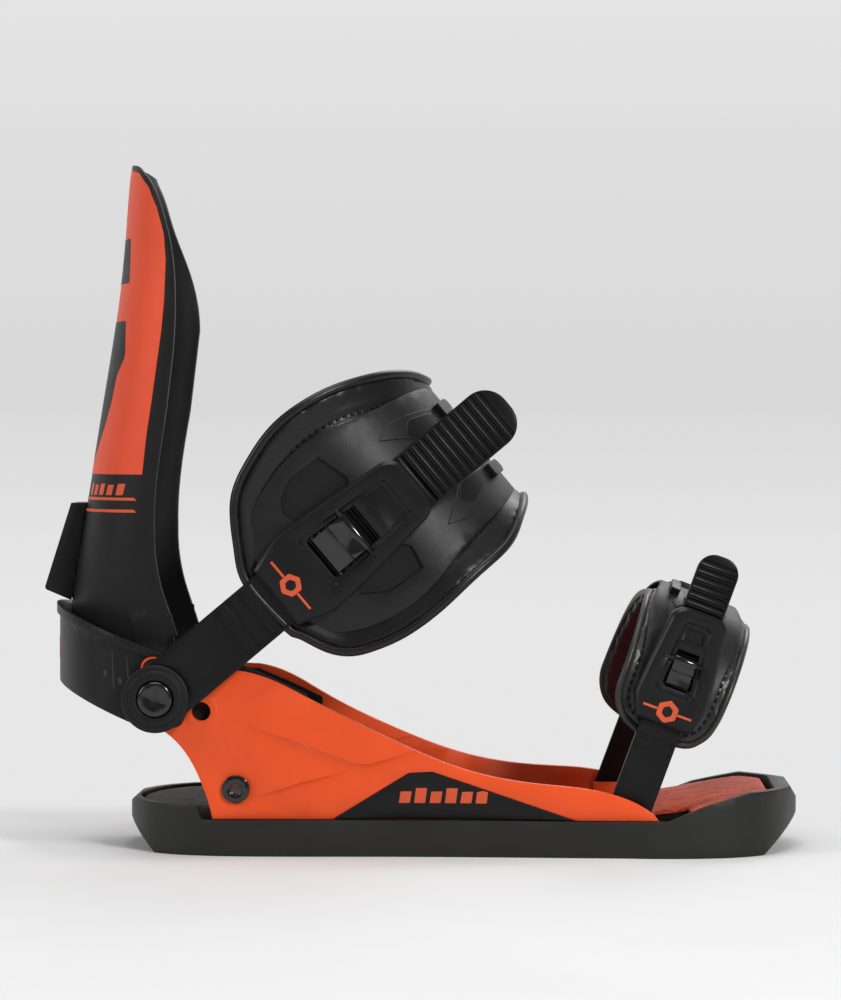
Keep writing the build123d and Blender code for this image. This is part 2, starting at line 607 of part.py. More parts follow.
def release_pawl(loop, u0):
    """Spring-loaded holding pawl with its thumb tab."""
    u, w = buckle_axes(loop, u0)[0]
    width = loop["width"] - 3
    half = width / 2 - 3.2
    lip = loop["strap"] + STRAP_T + 0.25
    hub = cross_pin(u, w, 2.6, 2 * half)
    tooth = polygon([(u - 2.4, w), (u + 0.6, lip), (u + 2.0, lip + 0.3), (u + 2.4, w)])
    tab = side_prism(polygon([(u - 1.5, w + 0.6), (u + 0.5, w + 2.4), (u - 9, w + 5.0), (u - 12, w + 4.6),
                              (u - 12, w + 3.2), (u - 9, w + 3.0)]), -half, half)
    return hub + side_prism(tooth, -half, half) + tab - cross_pin(u, w, 1.55, 3 * width)


def torsion_spring(loop, u0, which):
    """Coil beside the hub of the lever or the pawl."""
    u, w = buckle_axes(loop, u0)[which]
    start = (loop["width"] - 3) / 2 - 2.6
    path = Helix(pitch=0.75, height=1.9, radius=2.35)
    coil = sweep(Plane(origin=path @ 0, z_dir=path % 0) * Circle(0.3), path=path)
    return coil.moved(Location((0, 0, 0), (-90, 0, 0))).moved(Location((u, start, w)))


# ---------------------------------------------------------------- strap fasteners
def bolt_washer():
    """Large stepped washer over the end of the -Y ankle strap."""
    w0 = -(ANKLE["strap"] + STRAP_T + 0.2)
    body = rod_y(14.0, *BOLT, w0 - 2.6, w0)
    body += rod_y(11.4, *BOLT, w0 - 3.5, w0 - 2.6)
    return body - rod_y(4.15, *BOLT, w0 - 9, w0 + 9) - rod_y(7.6, *BOLT, w0 - 9, w0 - 2.0)


def cross_recess(y, depth):
    """Cross-shaped driver recess."""
    arms = slab(-4.4, 4.4, y, y + depth, -1.2, 1.2) + slab(-1.2, 1.2, y, y + depth, -4.4, 4.4)
    return arms.moved(Location((BOLT[0], 0, BOLT[1]), (0, 20, 0)))


def strap_bolt():
    """Bolt of the -Y ankle strap, with a domed head."""
    w0 = -(ANKLE["strap"] + STRAP_T + 0.2)
    head = rod_y(7.3, *BOLT, w0 - 4.4, w0 - 2.0)
    head = fillet(head.edges().group_by(Axis.Y)[0], 1.2)
    return head + rod_y(4.0, *BOLT, w0 - 2.0, -ARM_IN - 0.2) - cross_recess(w0 - 5, 2.6)


def strap_spacer():
    """Spacer between the hoop and the -Y ankle strap."""
    return rod_y(6.4, *BOLT, -ANKLE["strap"] + 0.15, -HOOP_OUT - 0.15) - rod_y(4.15, *BOLT, -BEYOND, 0)


def strap_nut():
    """Flanged nut inside the -Y arm."""
    flange = rod_y(5.65, *BOLT, -ARM_IN - 1.3, -ARM_IN - 0.1)
    sleeve = rod_y(4.8, *BOLT, -ARM_OUT + 0.2, -ARM_IN - 1.2)
    return flange + sleeve - rod_y(4.02, *BOLT, -BEYOND, 0)


def side_bushing():
    """Hollow bushing through the foot of the -Y arm."""
    bush = rod_y(5.8, *EYE, -ARM_OUT - 1.5, -ARM_OUT - 0.05) + rod_y(4.0, *EYE, -ARM_OUT - 0.1, -ARM_IN)
    bush = bush + rod_y(5.4, *EYE, -ARM_IN + 0.05, -ARM_IN + 1.2)
    return bush - rod_y(2.4, *EYE, -BEYOND, 0)


def main():
    os.makedirs("parts", exist_ok=True)
    a0, a_size = 65.0, (75.6, 29.0, 39.5, 28.5)
    t0, t_size = 41.5, (50.0, 23.6, 31.5, 23.6)
    ankle_buckle, toe_buckle = 60.0, 40.0

    save("sole_skin", sole_skin())
    save("baseplate", baseplate())
    save("side_panel_medial", side_panel())
    save("side_panel_lateral", mirror(side_panel(), about=Plane.XZ))
    save("arm_liners", group(arm_liner(3.4), mirror(arm_liner(-4.5), about=Plane.XZ)))
    save("heel_footbed", heel_footbed())
    save("arch_footbed", arch_footbed())
    save("toe_ramp_wedge", ramp_plate())
    save("toe_ramp_pad", ramp_pad())
    save("mounting_disc", mounting_disc())
    save("side_bushings", both_sides(side_bushing()))

    save("heel_hoop", heel_hoop())
    save("highback_bushings", both_sides(pivot_bushing()))
    save("highback_bolts", both_sides(pivot_bolt()))
    save("highback_shell", highback_shell())
    save("highback_pad", highback_pad())
    save("lean_block", lean_block())
    save("lean_screw", lean_screw())

    save("ankle_strap_washers", both_sides(bolt_washer()))
    save("ankle_strap_bolts", both_sides(strap_bolt()))
    save("ankle_strap_spacers", both_sides(strap_spacer()))
    save("ankle_strap_nuts", both_sides(strap_nut()))
    save("toe_strap_pins", group(toe_pin(-1, 2.5), toe_pin(1, 2.5)))

    hole = extrude(Circle(4.3), amount=BEYOND)
    flex, teeth = (42.0, 61.0, 6.2, 3.6, 0.9), (77.6, 184.5, 3.75, 1.55, 0.2)
    save("ankle_tongue", on_side(ANKLE, -1, tongue(ANKLE, flex, teeth) - hole))
    save("ankle_ladder", on_side(ANKLE, 1, ladder(ANKLE, 140.0) - hole))
    save("ankle_pad", strap_pad(ANKLE, ANKLE_PAD))
    save("ankle_frame", strap_frame(ANKLE, ANKLE_FRAME, ANKLE_WINDOWS))
    save("ankle_adjuster", on_side(ANKLE, -1, adjuster(ANKLE, a0, a_size)))
    save("ankle_latch", on_side(ANKLE, -1, latch(ANKLE, a0, a_size[0])))
    pin_w = ANKLE["strap"] + LATCH_RISE
    save("ankle_latch_pin", on_side(ANKLE, -1, cross_pin(a0 + 0.56 * a_size[0], pin_w, 1.2, 26.4)))
    save("ankle_buckle_base", on_side(ANKLE, 1, buckle_base(ANKLE, ankle_buckle, 36)))
    save("ankle_buckle_pins", on_side(ANKLE, 1, group(*buckle_pins(ANKLE, ankle_buckle))))
    save("ankle_ratchet_lever", on_side(ANKLE, 1, ratchet_lever(ANKLE, ankle_buckle, 44)))
    save("ankle_lever_spring", on_side(ANKLE, 1, torsion_spring(ANKLE, ankle_buckle, 1)))
    save("ankle_release_pawl", on_side(ANKLE, 1, release_pawl(ANKLE, ankle_buckle)))
    save("ankle_pawl_spring", on_side(ANKLE, 1, torsion_spring(ANKLE, ankle_buckle, 0)))

    hole = extrude(Circle(2.55), amount=BEYOND)
    flex, teeth = (30.0, 37.0, 5.0, 2.6, 0.8), (50.0, 112.0, 3.4, 1.4, 0.15)
    save("toe_tongue", on_side(TOE, -1, tongue(TOE, flex, teeth) - hole))
    save("toe_ladder", on_side(TOE, 1, ladder(TOE, 100.0) - hole))
    save("toe_pad", strap_pad(TOE, TOE_PAD))
    save("toe_frame", strap_frame(TOE, TOE_FRAME, TOE_WINDOWS))
    save("toe_adjuster", on_side(TOE, -1, adjuster(TOE, t0, t_size)))
    save("toe_latch", on_side(TOE, -1, latch(TOE, t0, t_size[0])))
    pin_w = TOE["strap"] + LATCH_RISE
    save("toe_latch_pin", on_side(TOE, -1, cross_pin(t0 + 0.56 * t_size[0], pin_w, 1.2, 18.6)))
    save("toe_buckle_base", on_side(TOE, 1, buckle_base(TOE, toe_buckle, 32)))
    save("toe_buckle_pins", on_side(TOE, 1, group(*buckle_pins(TOE, toe_buckle))))
    save("toe_ratchet_lever", on_side(TOE, 1, ratchet_lever(TOE, toe_buckle, 36)))
    save("toe_lever_spring", on_side(TOE, 1, torsion_spring(TOE, toe_buckle, 1)))
    save("toe_release_pawl", on_side(TOE, 1, release_pawl(TOE, toe_buckle)))
    save("toe_pawl_spring", on_side(TOE, 1, torsion_spring(TOE, toe_buckle, 0)))


main()
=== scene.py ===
"""Looks of the strap binding: materials, padded straps, foam, prints, stitching, studio and camera.

Lengths inside the helpers are millimetres in the shared frame; the meshes are in metres.
"""
import math

import bmesh
import bpy
import numpy as np
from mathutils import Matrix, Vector, geometry
from mathutils.bvhtree import BVHTree


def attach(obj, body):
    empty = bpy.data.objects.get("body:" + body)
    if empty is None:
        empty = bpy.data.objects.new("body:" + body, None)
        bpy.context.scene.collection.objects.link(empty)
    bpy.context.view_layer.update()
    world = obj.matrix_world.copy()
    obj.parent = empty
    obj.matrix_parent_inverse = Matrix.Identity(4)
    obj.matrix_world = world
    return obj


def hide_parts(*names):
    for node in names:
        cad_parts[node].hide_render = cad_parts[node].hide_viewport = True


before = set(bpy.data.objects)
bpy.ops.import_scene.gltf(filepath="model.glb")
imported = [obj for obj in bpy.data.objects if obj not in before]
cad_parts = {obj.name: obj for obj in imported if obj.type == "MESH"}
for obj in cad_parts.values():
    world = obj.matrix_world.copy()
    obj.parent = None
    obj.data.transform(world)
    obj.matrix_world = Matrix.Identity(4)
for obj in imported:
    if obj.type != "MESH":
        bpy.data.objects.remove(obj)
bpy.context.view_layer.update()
M = 0.001

# ---------------------------------------------------------------- colours, linear
BLACK = (0.0085, 0.0085, 0.0085)
DEEP = (0.0055, 0.0055, 0.0055)
SOLE = (0.0098, 0.0098, 0.0084)
LEATHER = (0.0070, 0.0070, 0.0070)
ORANGE = (0.84, 0.088, 0.016)
RED_ORANGE = (0.72, 0.080, 0.030)
PRINT = (0.64, 0.096, 0.036)


# ---------------------------------------------------------------- materials
def new_material(name):
    """Empty node material: (material, its nodes, its links)."""
    mat = bpy.data.materials.new(name)
    mat.use_nodes = True
    return mat, mat.node_tree.nodes, mat.node_tree.links


def noise(nodes, links, scale, detail=4.0, stretch=(1, 1, 1), rough=0.55):
    """Noise texture in object space. scale is in features per metre."""
    coord = nodes.new("ShaderNodeTexCoord")
    mapping = nodes.new("ShaderNodeMapping")
    mapping.inputs["Scale"].default_value = stretch
    tex = nodes.new("ShaderNodeTexNoise")
    tex.inputs["Scale"].default_value = scale
    tex.inputs["Detail"].default_value = detail
    tex.inputs["Roughness"].default_value = rough
    links.new(coord.outputs["Object"], mapping.inputs["Vector"])
    links.new(mapping.outputs["Vector"], tex.inputs["Vector"])
    return tex.outputs["Fac"]


def ramp(nodes, links, value, stops):
    """Colour ramp with (position, rgb) stops."""
    node = nodes.new("ShaderNodeValToRGB")
    node.color_ramp.elements[0].position = stops[0][0]
    node.color_ramp.elements[0].color = (*stops[0][1], 1)
    node.color_ramp.elements[1].position = stops[-1][0]
    node.color_ramp.elements[1].color = (*stops[-1][1], 1)
    for position, color in stops[1:-1]:
        node.color_ramp.elements.new(position).color = (*color, 1)
    links.new(value, node.inputs["Fac"])
    return node.outputs["Color"]


def scaled(color, k):
    """The colour k times as bright."""
    return tuple(min(1.0, c * k) for c in color)


def surface(name, color, rough, grain=900.0, bump=0.12, mottle=0.12, metal=0.0, coat=0.0,
            spread=0.08, mottle_scale=45.0, stretch=(1, 1, 1), spec=0.22):
    """Moulded or coated surface: mottled colour, uneven roughness and a fine grain."""
    mat, nodes, links = new_material(name)
    shader = nodes["Principled BSDF"]
    cloud = noise(nodes, links, mottle_scale, 5.0, stretch)
    tint = ramp(nodes, links, cloud, [(0.3, scaled(color, 1 - mottle)), (0.7, scaled(color, 1 + mottle))])
    links.new(tint, shader.inputs["Base Color"])
    wear = nodes.new("ShaderNodeMapRange")
    wear.inputs["To Min"].default_value = max(0.02, rough - spread)
    wear.inputs["To Max"].default_value = min(1.0, rough + spread)
    links.new(noise(nodes, links, mottle_scale * 2.7, 3.0, stretch), wear.inputs["Value"])
    links.new(wear.outputs["Result"], shader.inputs["Roughness"])
    shader.inputs["Metallic"].default_value = metal
    shader.inputs["Coat Weight"].default_value = coat
    shader.inputs["Specular IOR Level"].default_value = spec
    relief = nodes.new("ShaderNodeBump")
    relief.inputs["Strength"].default_value = bump
    relief.inputs["Distance"].default_value = 0.0002
    links.new(noise(nodes, links, grain, 2.0, stretch), relief.inputs["Height"])
    links.new(relief.outputs["Normal"], shader.inputs["Normal"])
    return mat


def leather(name, color, rough, cell=850.0):
    """Grained synthetic leather: small cells, soft sheen."""
    mat = surface(name, color, rough, grain=1500.0, bump=0.15, mottle=0.15, spread=0.07, spec=0.34)
    nodes, links = mat.node_tree.nodes, mat.node_tree.links
    shader = nodes["Principled BSDF"]
    coord = nodes.new("ShaderNodeTexCoord")
    cells = nodes.new("ShaderNodeTexVoronoi")
    cells.feature = "DISTANCE_TO_EDGE"
    cells.inputs["Scale"].default_value = cell
    links.new(coord.outputs["Object"], cells.inputs["Vector"])
    relief = nodes.new("ShaderNodeBump")
    relief.inputs["Strength"].default_value = 0.22
    relief.inputs["Distance"].default_value = 0.0002
    links.new(cells.outputs["Distance"], relief.inputs["Height"])
    old = shader.inputs["Normal"].links[0].from_socket
    links.new(old, relief.inputs["Normal"])
    links.new(relief.outputs["Normal"], shader.inputs["Normal"])
    return mat


def marbled(name, dark, light, scale, stretch, bands, rough, bump=0.3):
    """Foam with flowing streaks of two tones."""
    mat, nodes, links = new_material(name)
    shader = nodes["Principled BSDF"]
    coord = nodes.new("ShaderNodeTexCoord")
    mapping = nodes.new("ShaderNodeMapping")
    mapping.inputs["Scale"].default_value = stretch
    flow = nodes.new("ShaderNodeTexNoise")
    flow.inputs["Scale"].default_value = scale
    flow.inputs["Detail"].default_value = 6.0
    flow.inputs["Distortion"].default_value = bands
    links.new(coord.outputs["Object"], mapping.inputs["Vector"])
    links.new(mapping.outputs["Vector"], flow.inputs["Vector"])
    tint = ramp(nodes, links, flow.outputs["Fac"],
                [(0.36, dark), (0.46, light), (0.50, dark), (0.57, light), (0.66, dark)])
    links.new(tint, shader.inputs["Base Color"])
    shader.inputs["Roughness"].default_value = rough
    relief = nodes.new("ShaderNodeBump")
    relief.inputs["Strength"].default_value = bump
    relief.inputs["Distance"].default_value = 0.0004
    links.new(flow.outputs["Fac"], relief.inputs["Height"])
    links.new(relief.outputs["Normal"], shader.inputs["Normal"])
    return mat


def creased_with_painted_shade(mat, lines, depth):
    """Adds soft creases along (X, Z) polylines in millimetres.

    Each line dents the surface below it and paints shade there, darkening the colour where the sunken face
    falls in shade. A line comes as (points, fade at the ends, width).
    """
    nodes, links = mat.node_tree.nodes, mat.node_tree.links
    shader = nodes["Principled BSDF"]

    def math_node(operation, a, b=None, c=None):
        node = nodes.new("ShaderNodeMath")
        node.operation = operation
        for socket, value in zip(node.inputs, (a, b, c)):
            if value is None:
                continue
            if isinstance(value, float):
                socket.default_value = value
            else:
                links.new(value, socket)
        return node.outputs[0]

    coord = nodes.new("ShaderNodeTexCoord")
    axes = nodes.new("ShaderNodeSeparateXYZ")
    links.new(coord.outputs["Object"], axes.inputs["Vector"])
    x, z = axes.outputs["X"], axes.outputs["Z"]
    dents_and_shade = None
    for line, fade, width in lines:
        curve = nodes.new("ShaderNodeFloatCurve")
        low, high = line[0][0], line[-1][0]
        place = nodes.new("ShaderNodeMapRange")
        place.inputs["From Min"].default_value = low * M
        place.inputs["From Max"].default_value = high * M
        links.new(x, place.inputs["Value"])
        points = curve.mapping.curves[0].points
        while len(points) < len(line):
            points.new(0.5, 0.5)
        for point, (px, pz) in zip(points, line):
            point.location = ((px - low) / (high - low), pz / 100.0)
            point.handle_type = "VECTOR"
        curve.mapping.update()
        links.new(place.outputs["Result"], curve.inputs["Value"])
        level = math_node("MULTIPLY", curve.outputs["Value"], 0.1)
        under = math_node("DIVIDE", math_node("SUBTRACT", level, z), width * M)
        decay = math_node("EXPONENT", math_node("MULTIPLY", under, -1.0))
        dent_and_shade = math_node("MULTIPLY", math_node("GREATER_THAN", under, 0.0), decay)
        along = place.outputs["Result"]
        start = math_node("SMOOTH_MIN", math_node("DIVIDE", along, fade), 1.0, 0.1)
        left = math_node("SUBTRACT", 1.0, along)
        stop = math_node("SMOOTH_MIN", math_node("DIVIDE", left, fade), 1.0, 0.1)
        ends = math_node("MULTIPLY", start, stop)
        dent_and_shade = math_node("MULTIPLY", dent_and_shade, math_node("MAXIMUM", ends, 0.0))
        dents_and_shade = dent_and_shade if dents_and_shade is None else math_node("ADD", dents_and_shade, dent_and_shade)
    old_color = shader.inputs["Base Color"].links[0].from_socket
    # painted shade: the base colour is multiplied darker along and below the creases
    shade = nodes.new("ShaderNodeMix")
    shade.data_type = "RGBA"
    shade.blend_type = "MULTIPLY"
    shade.inputs["B"].default_value = (0.60, 0.50, 0.45, 1)
    links.new(math_node("MULTIPLY", dents_and_shade, 0.75), shade.inputs["Factor"])
    links.new(old_color, shade.inputs["A"])
    links.new(shade.outputs["Result"], shader.inputs["Base Color"])
    relief = nodes.new("ShaderNodeBump")
    relief.inputs["Distance"].default_value = depth * M
    relief.invert = True
    links.new(dents_and_shade, relief.inputs["Height"])
    links.new(shader.inputs["Normal"].links[0].from_socket, relief.inputs["Normal"])
    links.new(relief.outputs["Normal"], shader.inputs["Normal"])


MAT = {
    "sole": surface("sole_foam_rubber", SOLE, 0.52, grain=700, bump=0.22, mottle=0.16, mottle_scale=30,
                    spec=0.42),
    "black": surface("black_nylon", BLACK, 0.46, grain=1400, bump=0.14, mottle=0.10),
    "satin": surface("satin_black_nylon", BLACK, 0.36, grain=1200, bump=0.08, mottle=0.10),
    "gloss": surface("gloss_black", DEEP, 0.16, grain=400, bump=0.02, mottle=0.10, coat=0.3, spread=0.04,
                     spec=0.5),
    "strap": surface("strap_polymer", DEEP, 0.40, grain=1100, bump=0.12, mottle=0.12, spread=0.07),
    "hoop": surface("hoop_coat", BLACK, 0.44, grain=1500, bump=0.16, mottle=0.10, spread=0.06),
    "buckle": surface("buckle_coat", BLACK, 0.33, grain=1000, bump=0.06, mottle=0.12, metal=0.4),
    "steel": surface("bare_steel", (0.46, 0.46, 0.47), 0.30, grain=600, bump=0.05, mottle=0.10, metal=1.0,
                     stretch=(1, 6, 1)),
    "shell": surface("highback_nylon", BLACK, 0.50, grain=1300, bump=0.16, mottle=0.09),
    "red": surface("highback_print", RED_ORANGE, 0.50, grain=1300, bump=0.12, mottle=0.05, spread=0.05),
    "ink": surface("orange_ink", PRINT, 0.50, grain=1500, bump=0.08, mottle=0.07),
    "blackink": surface("black_ink", BLACK, 0.48, grain=1500, bump=0.08, mottle=0.10),
    "bush": surface("orange_bushing", ORANGE, 0.35, grain=900, bump=0.06, mottle=0.08),
    "leather": leather("ankle_pad_leather", LEATHER, 0.36),
    "frame": leather("frame_skin", BLACK, 0.46, 1100),
    "leather2": leather("toe_pad_leather", (0.028, 0.028, 0.027), 0.34, 700),
    "lining": surface("maroon_lining", (0.050, 0.008, 0.010), 0.85, grain=2200, bump=0.5, mottle=0.25,
                      mottle_scale=400),
    "thread": surface("black_thread", (0.0022, 0.0022, 0.0022), 0.5, grain=3000, bump=0.5, mottle=0.2),
    "marble": marbled("marbled_foam", (0.010, 0.010, 0.009), (0.085, 0.080, 0.072), 55, (0.5, 1.6, 1), 2.2,
                      0.75),
    "streaks": marbled("streaky_orange_foam", (0.20, 0.022, 0.008), (0.74, 0.085, 0.022), 60, (0.5, 1.5, 1),
                       2.0, 0.70),
    "liner": surface("liner_foam", (0.010, 0.010, 0.010), 0.8, grain=900, bump=0.3, mottle=0.15),
    "chassis": surface("baseplate_nylon", ORANGE, 0.42, grain=1300, bump=0.10, mottle=0.05, spread=0.05,
                       spec=0.3),
}
# creases on the baseplate's rails: dented by bump, with painted shade darkening the orange below them
UPPER_CREASE = [(-90, 56.0), (-64, 47.0), (-40, 38.2), (-34, 38.0), (-10, 45.0)]
LOWER_CREASE = [(-84, 23.6), (-64, 30.0), (-43, 35.4)]
creased_with_painted_shade(MAT["chassis"], [(UPPER_CREASE, 0.25, 2.0), (LOWER_CREASE, 0.3, 1.8)], 0.9)


def paint(obj, key):
    """Gives the object one material."""
    obj.data.materials.clear()
    obj.data.materials.append(MAT[key])


# ---------------------------------------------------------------- CAD nodes shown as they are
def soften(node, key, width=0.5, angle=30.0, segments=2):
    """Gives a CAD node its material, smooth shading and small rounded edges."""
    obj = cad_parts[node]
    paint(obj, key)
    weld = obj.modifiers.new("weld", "WELD")
    weld.merge_threshold = 0.00002
    if width:
        bevel = obj.modifiers.new("rounded_edges", "BEVEL")
        bevel.width = width * M
        bevel.segments = segments
        bevel.limit_method = "ANGLE"
        bevel.angle_limit = math.radians(angle)
        bevel.harden_normals = True
        bevel.use_clamp_overlap = True
    obj.data.shade_smooth()
    obj.data.set_sharp_from_angle(angle=math.radians(angle))
    return obj


SHOWN = {
    "sole_skin": ("sole", 0.7), "baseplate": ("chassis", 0.9), "side_panel_medial": ("black", 0.4),
    "side_panel_lateral": ("black", 0.4), "side_bushings": ("gloss", 0.4), "toe_ramp_wedge": ("black", 0.5),
    "mounting_disc": ("black", 0.3), "heel_hoop": ("hoop", 0.6),
    "highback_bushings": ("bush", 0.3), "highback_bolts": ("gloss", 0.3), "highback_shell": ("shell", 1.1),
    "lean_block": ("black", 0.8), "lean_screw": ("gloss", 0.2),
    "ankle_strap_washers": ("black", 0.6), "ankle_strap_bolts": ("gloss", 0.3),
    "ankle_strap_spacers": ("black", 0.3), "ankle_strap_nuts": ("steel", 0.2),
    "toe_strap_pins": ("steel", 0.2),
    "ankle_tongue": ("strap", 0.45), "ankle_ladder": ("strap", 0.3), "ankle_frame": ("frame", 0.35),
    "ankle_adjuster": ("satin", 0.7), "ankle_latch": ("gloss", 0.3), "ankle_latch_pin": ("satin", 0),
    "ankle_buckle_base": ("buckle", 0.4), "ankle_buckle_pins": ("steel", 0.2),
    "ankle_ratchet_lever": ("buckle", 0.5), "ankle_lever_spring": ("steel", 0),
    "ankle_release_pawl": ("buckle", 0.4), "ankle_pawl_spring": ("steel", 0),
    "toe_tongue": ("strap", 0.4), "toe_ladder": ("strap", 0.3), "toe_frame": ("frame", 0.35),
    "toe_adjuster": ("satin", 0.6), "toe_latch": ("gloss", 0.3), "toe_latch_pin": ("satin", 0),
    "toe_buckle_base": ("buckle", 0.4), "toe_buckle_pins": ("steel", 0.2),
    "toe_ratchet_lever": ("buckle", 0.5), "toe_lever_spring": ("steel", 0),
    "toe_release_pawl": ("buckle", 0.4), "toe_pawl_spring": ("steel", 0),
}
for node, (key, width) in SHOWN.items():
    soften(node, key, width)


# ---------------------------------------------------------------- strap axes
class Strap:
    """Axes of one strap loop: u along, v across, y from one side of the foot to the other."""

    def __init__(self, x, z, angle, skew, half, spring, crest, pad):
        self.x, self.z, self.half, self.spring, self.crest, self.pad = x, z, half, spring, crest, pad
        self.a, self.skew = math.radians(angle), math.radians(skew)
        self.rise = crest - spring

    def point(self, u, v, y):
        """Millimetres in strap axes to metres in the frame. y is negative on the inner side."""
        x = u * math.cos(self.a) - v * math.sin(self.a)
        z = u * math.sin(self.a) + v * math.cos(self.a)
        c, s = math.cos(self.skew), math.sin(self.skew)
        return Vector((self.x + x * c - y * s, x * s + y * c, self.z + z)) * M

    def profile(self):
        """Outer line from the inner side over the top: rows of (arc length, u, y, normal u, normal y)."""
        rows, travelled, last = [], 0.0, None
        line = [(u, -self.half, 0.0, -1.0) for u in np.linspace(0, self.spring, 60)]
        for t in np.linspace(-math.pi / 2, math.pi / 2, 161)[1:-1]:
            u = self.spring + self.rise * math.cos(t)
            y = self.half * math.sin(t)
            nu, ny = math.cos(t) / self.rise, math.sin(t) / self.half
            n = math.hypot(nu, ny)
            line.append((u, y, nu / n, ny / n))
        line += [(u, self.half, 0.0, 1.0) for u in np.linspace(self.spring, 0, 60)]
        for u, y, nu, ny in line:
            if last:
                travelled += math.hypot(u - last[0], y - last[1])
            rows.append((travelled, u, y, nu, ny))
            last = (u, y)
        return rows


ANKLE = Strap(-122.0, 66.0, 40.0, 0.0, 60.0, 114.0, 167.0, 5.2)
TOE = Strap(69.6, 15.5, 69.5, 3.0, 51.6, 50.0, 96.5, 5.2)

STRAP_ROWS = {id(s): np.array(s.profile()) for s in (ANKLE, TOE)}


def on_loop(strap, s, v, out):
    """Point at arc length s (from the inner anchor), width v, and distance out from the pad's face."""
    rows = STRAP_ROWS[id(strap)]
    u, y, nu, ny = (np.interp(s, rows[:, 0], rows[:, k]) for k in (1, 2, 3, 4))
    return strap.point(u + nu * out, v, y + ny * out)


# ---------------------------------------------------------------- mesh building
def mesh_object(name, verts, faces, key, body):
    """New smooth piece that rides on a body. verts are in metres."""
    mesh = bpy.data.meshes.new(name)
    mesh.from_pydata([tuple(v) for v in verts], [], [tuple(f) for f in faces])
    mesh.update()
    obj = bpy.data.objects.new(name, mesh)
    bpy.context.collection.objects.link(obj)
    paint(obj, key)
    mesh.shade_smooth()
    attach(obj, body)
    return obj


def smooth_loop(points, per_side=8):
    """Closed Catmull-Rom curve through 2-D points."""
    out, n = [], len(points)
    p = [np.array(q, float) for q in points]
    for i in range(n):
        a, b, c, d = p[i - 1], p[i], p[(i + 1) % n], p[(i + 2) % n]
        for t in np.linspace(0, 1, per_side, endpoint=False):
            out.append(0.5 * (2 * b + (c - a) * t + (2 * a - 5 * b + 4 * c - d) * t * t
                              + (3 * b - a - 3 * c + d) * t ** 3))
    return out


def even_loop(points, step):
    """The same closed outline with points a step apart."""
    ring = np.array(list(points) + [points[0]], float)
    lengths = np.concatenate([[0], np.cumsum(np.hypot(*np.diff(ring, axis=0).T))])
    count = max(8, int(lengths[-1] / step))
    at = np.linspace(0, lengths[-1], count, endpoint=False)
    return np.stack([np.interp(at, lengths, ring[:, 0]), np.interp(at, lengths, ring[:, 1])], 1)


def inside(points, outline):
    """Which 2-D points lie inside the outline."""
    x, y = points[:, 0], points[:, 1]
    hit = np.zeros(len(points), bool)
    a = np.array(outline)
    b = np.roll(a, -1, axis=0)
    for (x0, y0), (x1, y1) in zip(a, b):
        crosses = (y0 > y) != (y1 > y)
        with np.errstate(divide="ignore", invalid="ignore"):
            at = (x1 - x0) * (y - y0) / (y1 - y0) + x0
        hit ^= crosses & (x < at)
    return hit


def to_edge(points, outline):
    """Distance of each 2-D point from the outline."""
    start = np.array(outline)
    step = np.roll(start, -1, axis=0) - start
    square = np.maximum(1e-9, (step ** 2).sum(1))
    out = []
    for part in np.array_split(np.array(points, float), 1 + len(points) // 2000):
        rel = part[:, None, :] - start[None]
        t = np.clip((rel * step).sum(2) / square, 0, 1)
        out.append(np.sqrt(((rel - t[..., None] * step) ** 2).sum(2)).min(1))
    return np.concatenate(out)


def fill(outline, step):
    """Triangles that fill an outline: (points, faces, count of outline points)."""
    ring = even_loop(outline, step)
    lo, hi = ring.min(0), ring.max(0)
    gx, gy = np.meshgrid(np.arange(lo[0], hi[0], step), np.arange(lo[1], hi[1], step * 0.87))
    gx = gx + (np.arange(gx.shape[0]) % 2)[:, None] * step / 2
    grid = np.stack([gx.ravel(), gy.ravel()], 1)
    grid = grid[inside(grid, ring)]
    grid = grid[to_edge(grid, ring) > step * 0.55]
    pts = np.concatenate([ring, grid])
    n = len(ring)
    edges = [(i, (i + 1) % n) for i in range(n)]
    verts, _, faces, *_ = geometry.delaunay_2d_cdt([Vector(p) for p in pts], edges, [], 1, 1e-5)
    return np.array([tuple(v) for v in verts]), [list(f) for f in faces], n


def sheet(name, outline, step, top, bottom, key, body):
    """Closed solid between two mappings of one flat outline."""
    pts, faces, n = fill(outline, step)
    count = len(pts)
    verts = [top(*p) for p in pts] + [bottom(*p) for p in pts]
    solid = [f for f in faces] + [[i + count for i in reversed(f)] for f in faces]
    solid += [[(i + 1) % n, i, i + count, (i + 1) % n + count] for i in range(n)]
    obj = mesh_object(name, verts, solid, key, body)
    tidy_normals(obj)
    return obj


def tidy_normals(obj):
    """Merges doubled corners, turns the faces outward and keeps only the hard edges sharp."""
    bm = bmesh.new()
    bm.from_mesh(obj.data)
    bmesh.ops.remove_doubles(bm, verts=bm.verts, dist=1e-7)
    bmesh.ops.recalc_face_normals(bm, faces=bm.faces)
    bm.to_mesh(obj.data)
    bm.free()
    obj.data.shade_smooth()
    obj.data.set_sharp_from_angle(angle=math.radians(38))


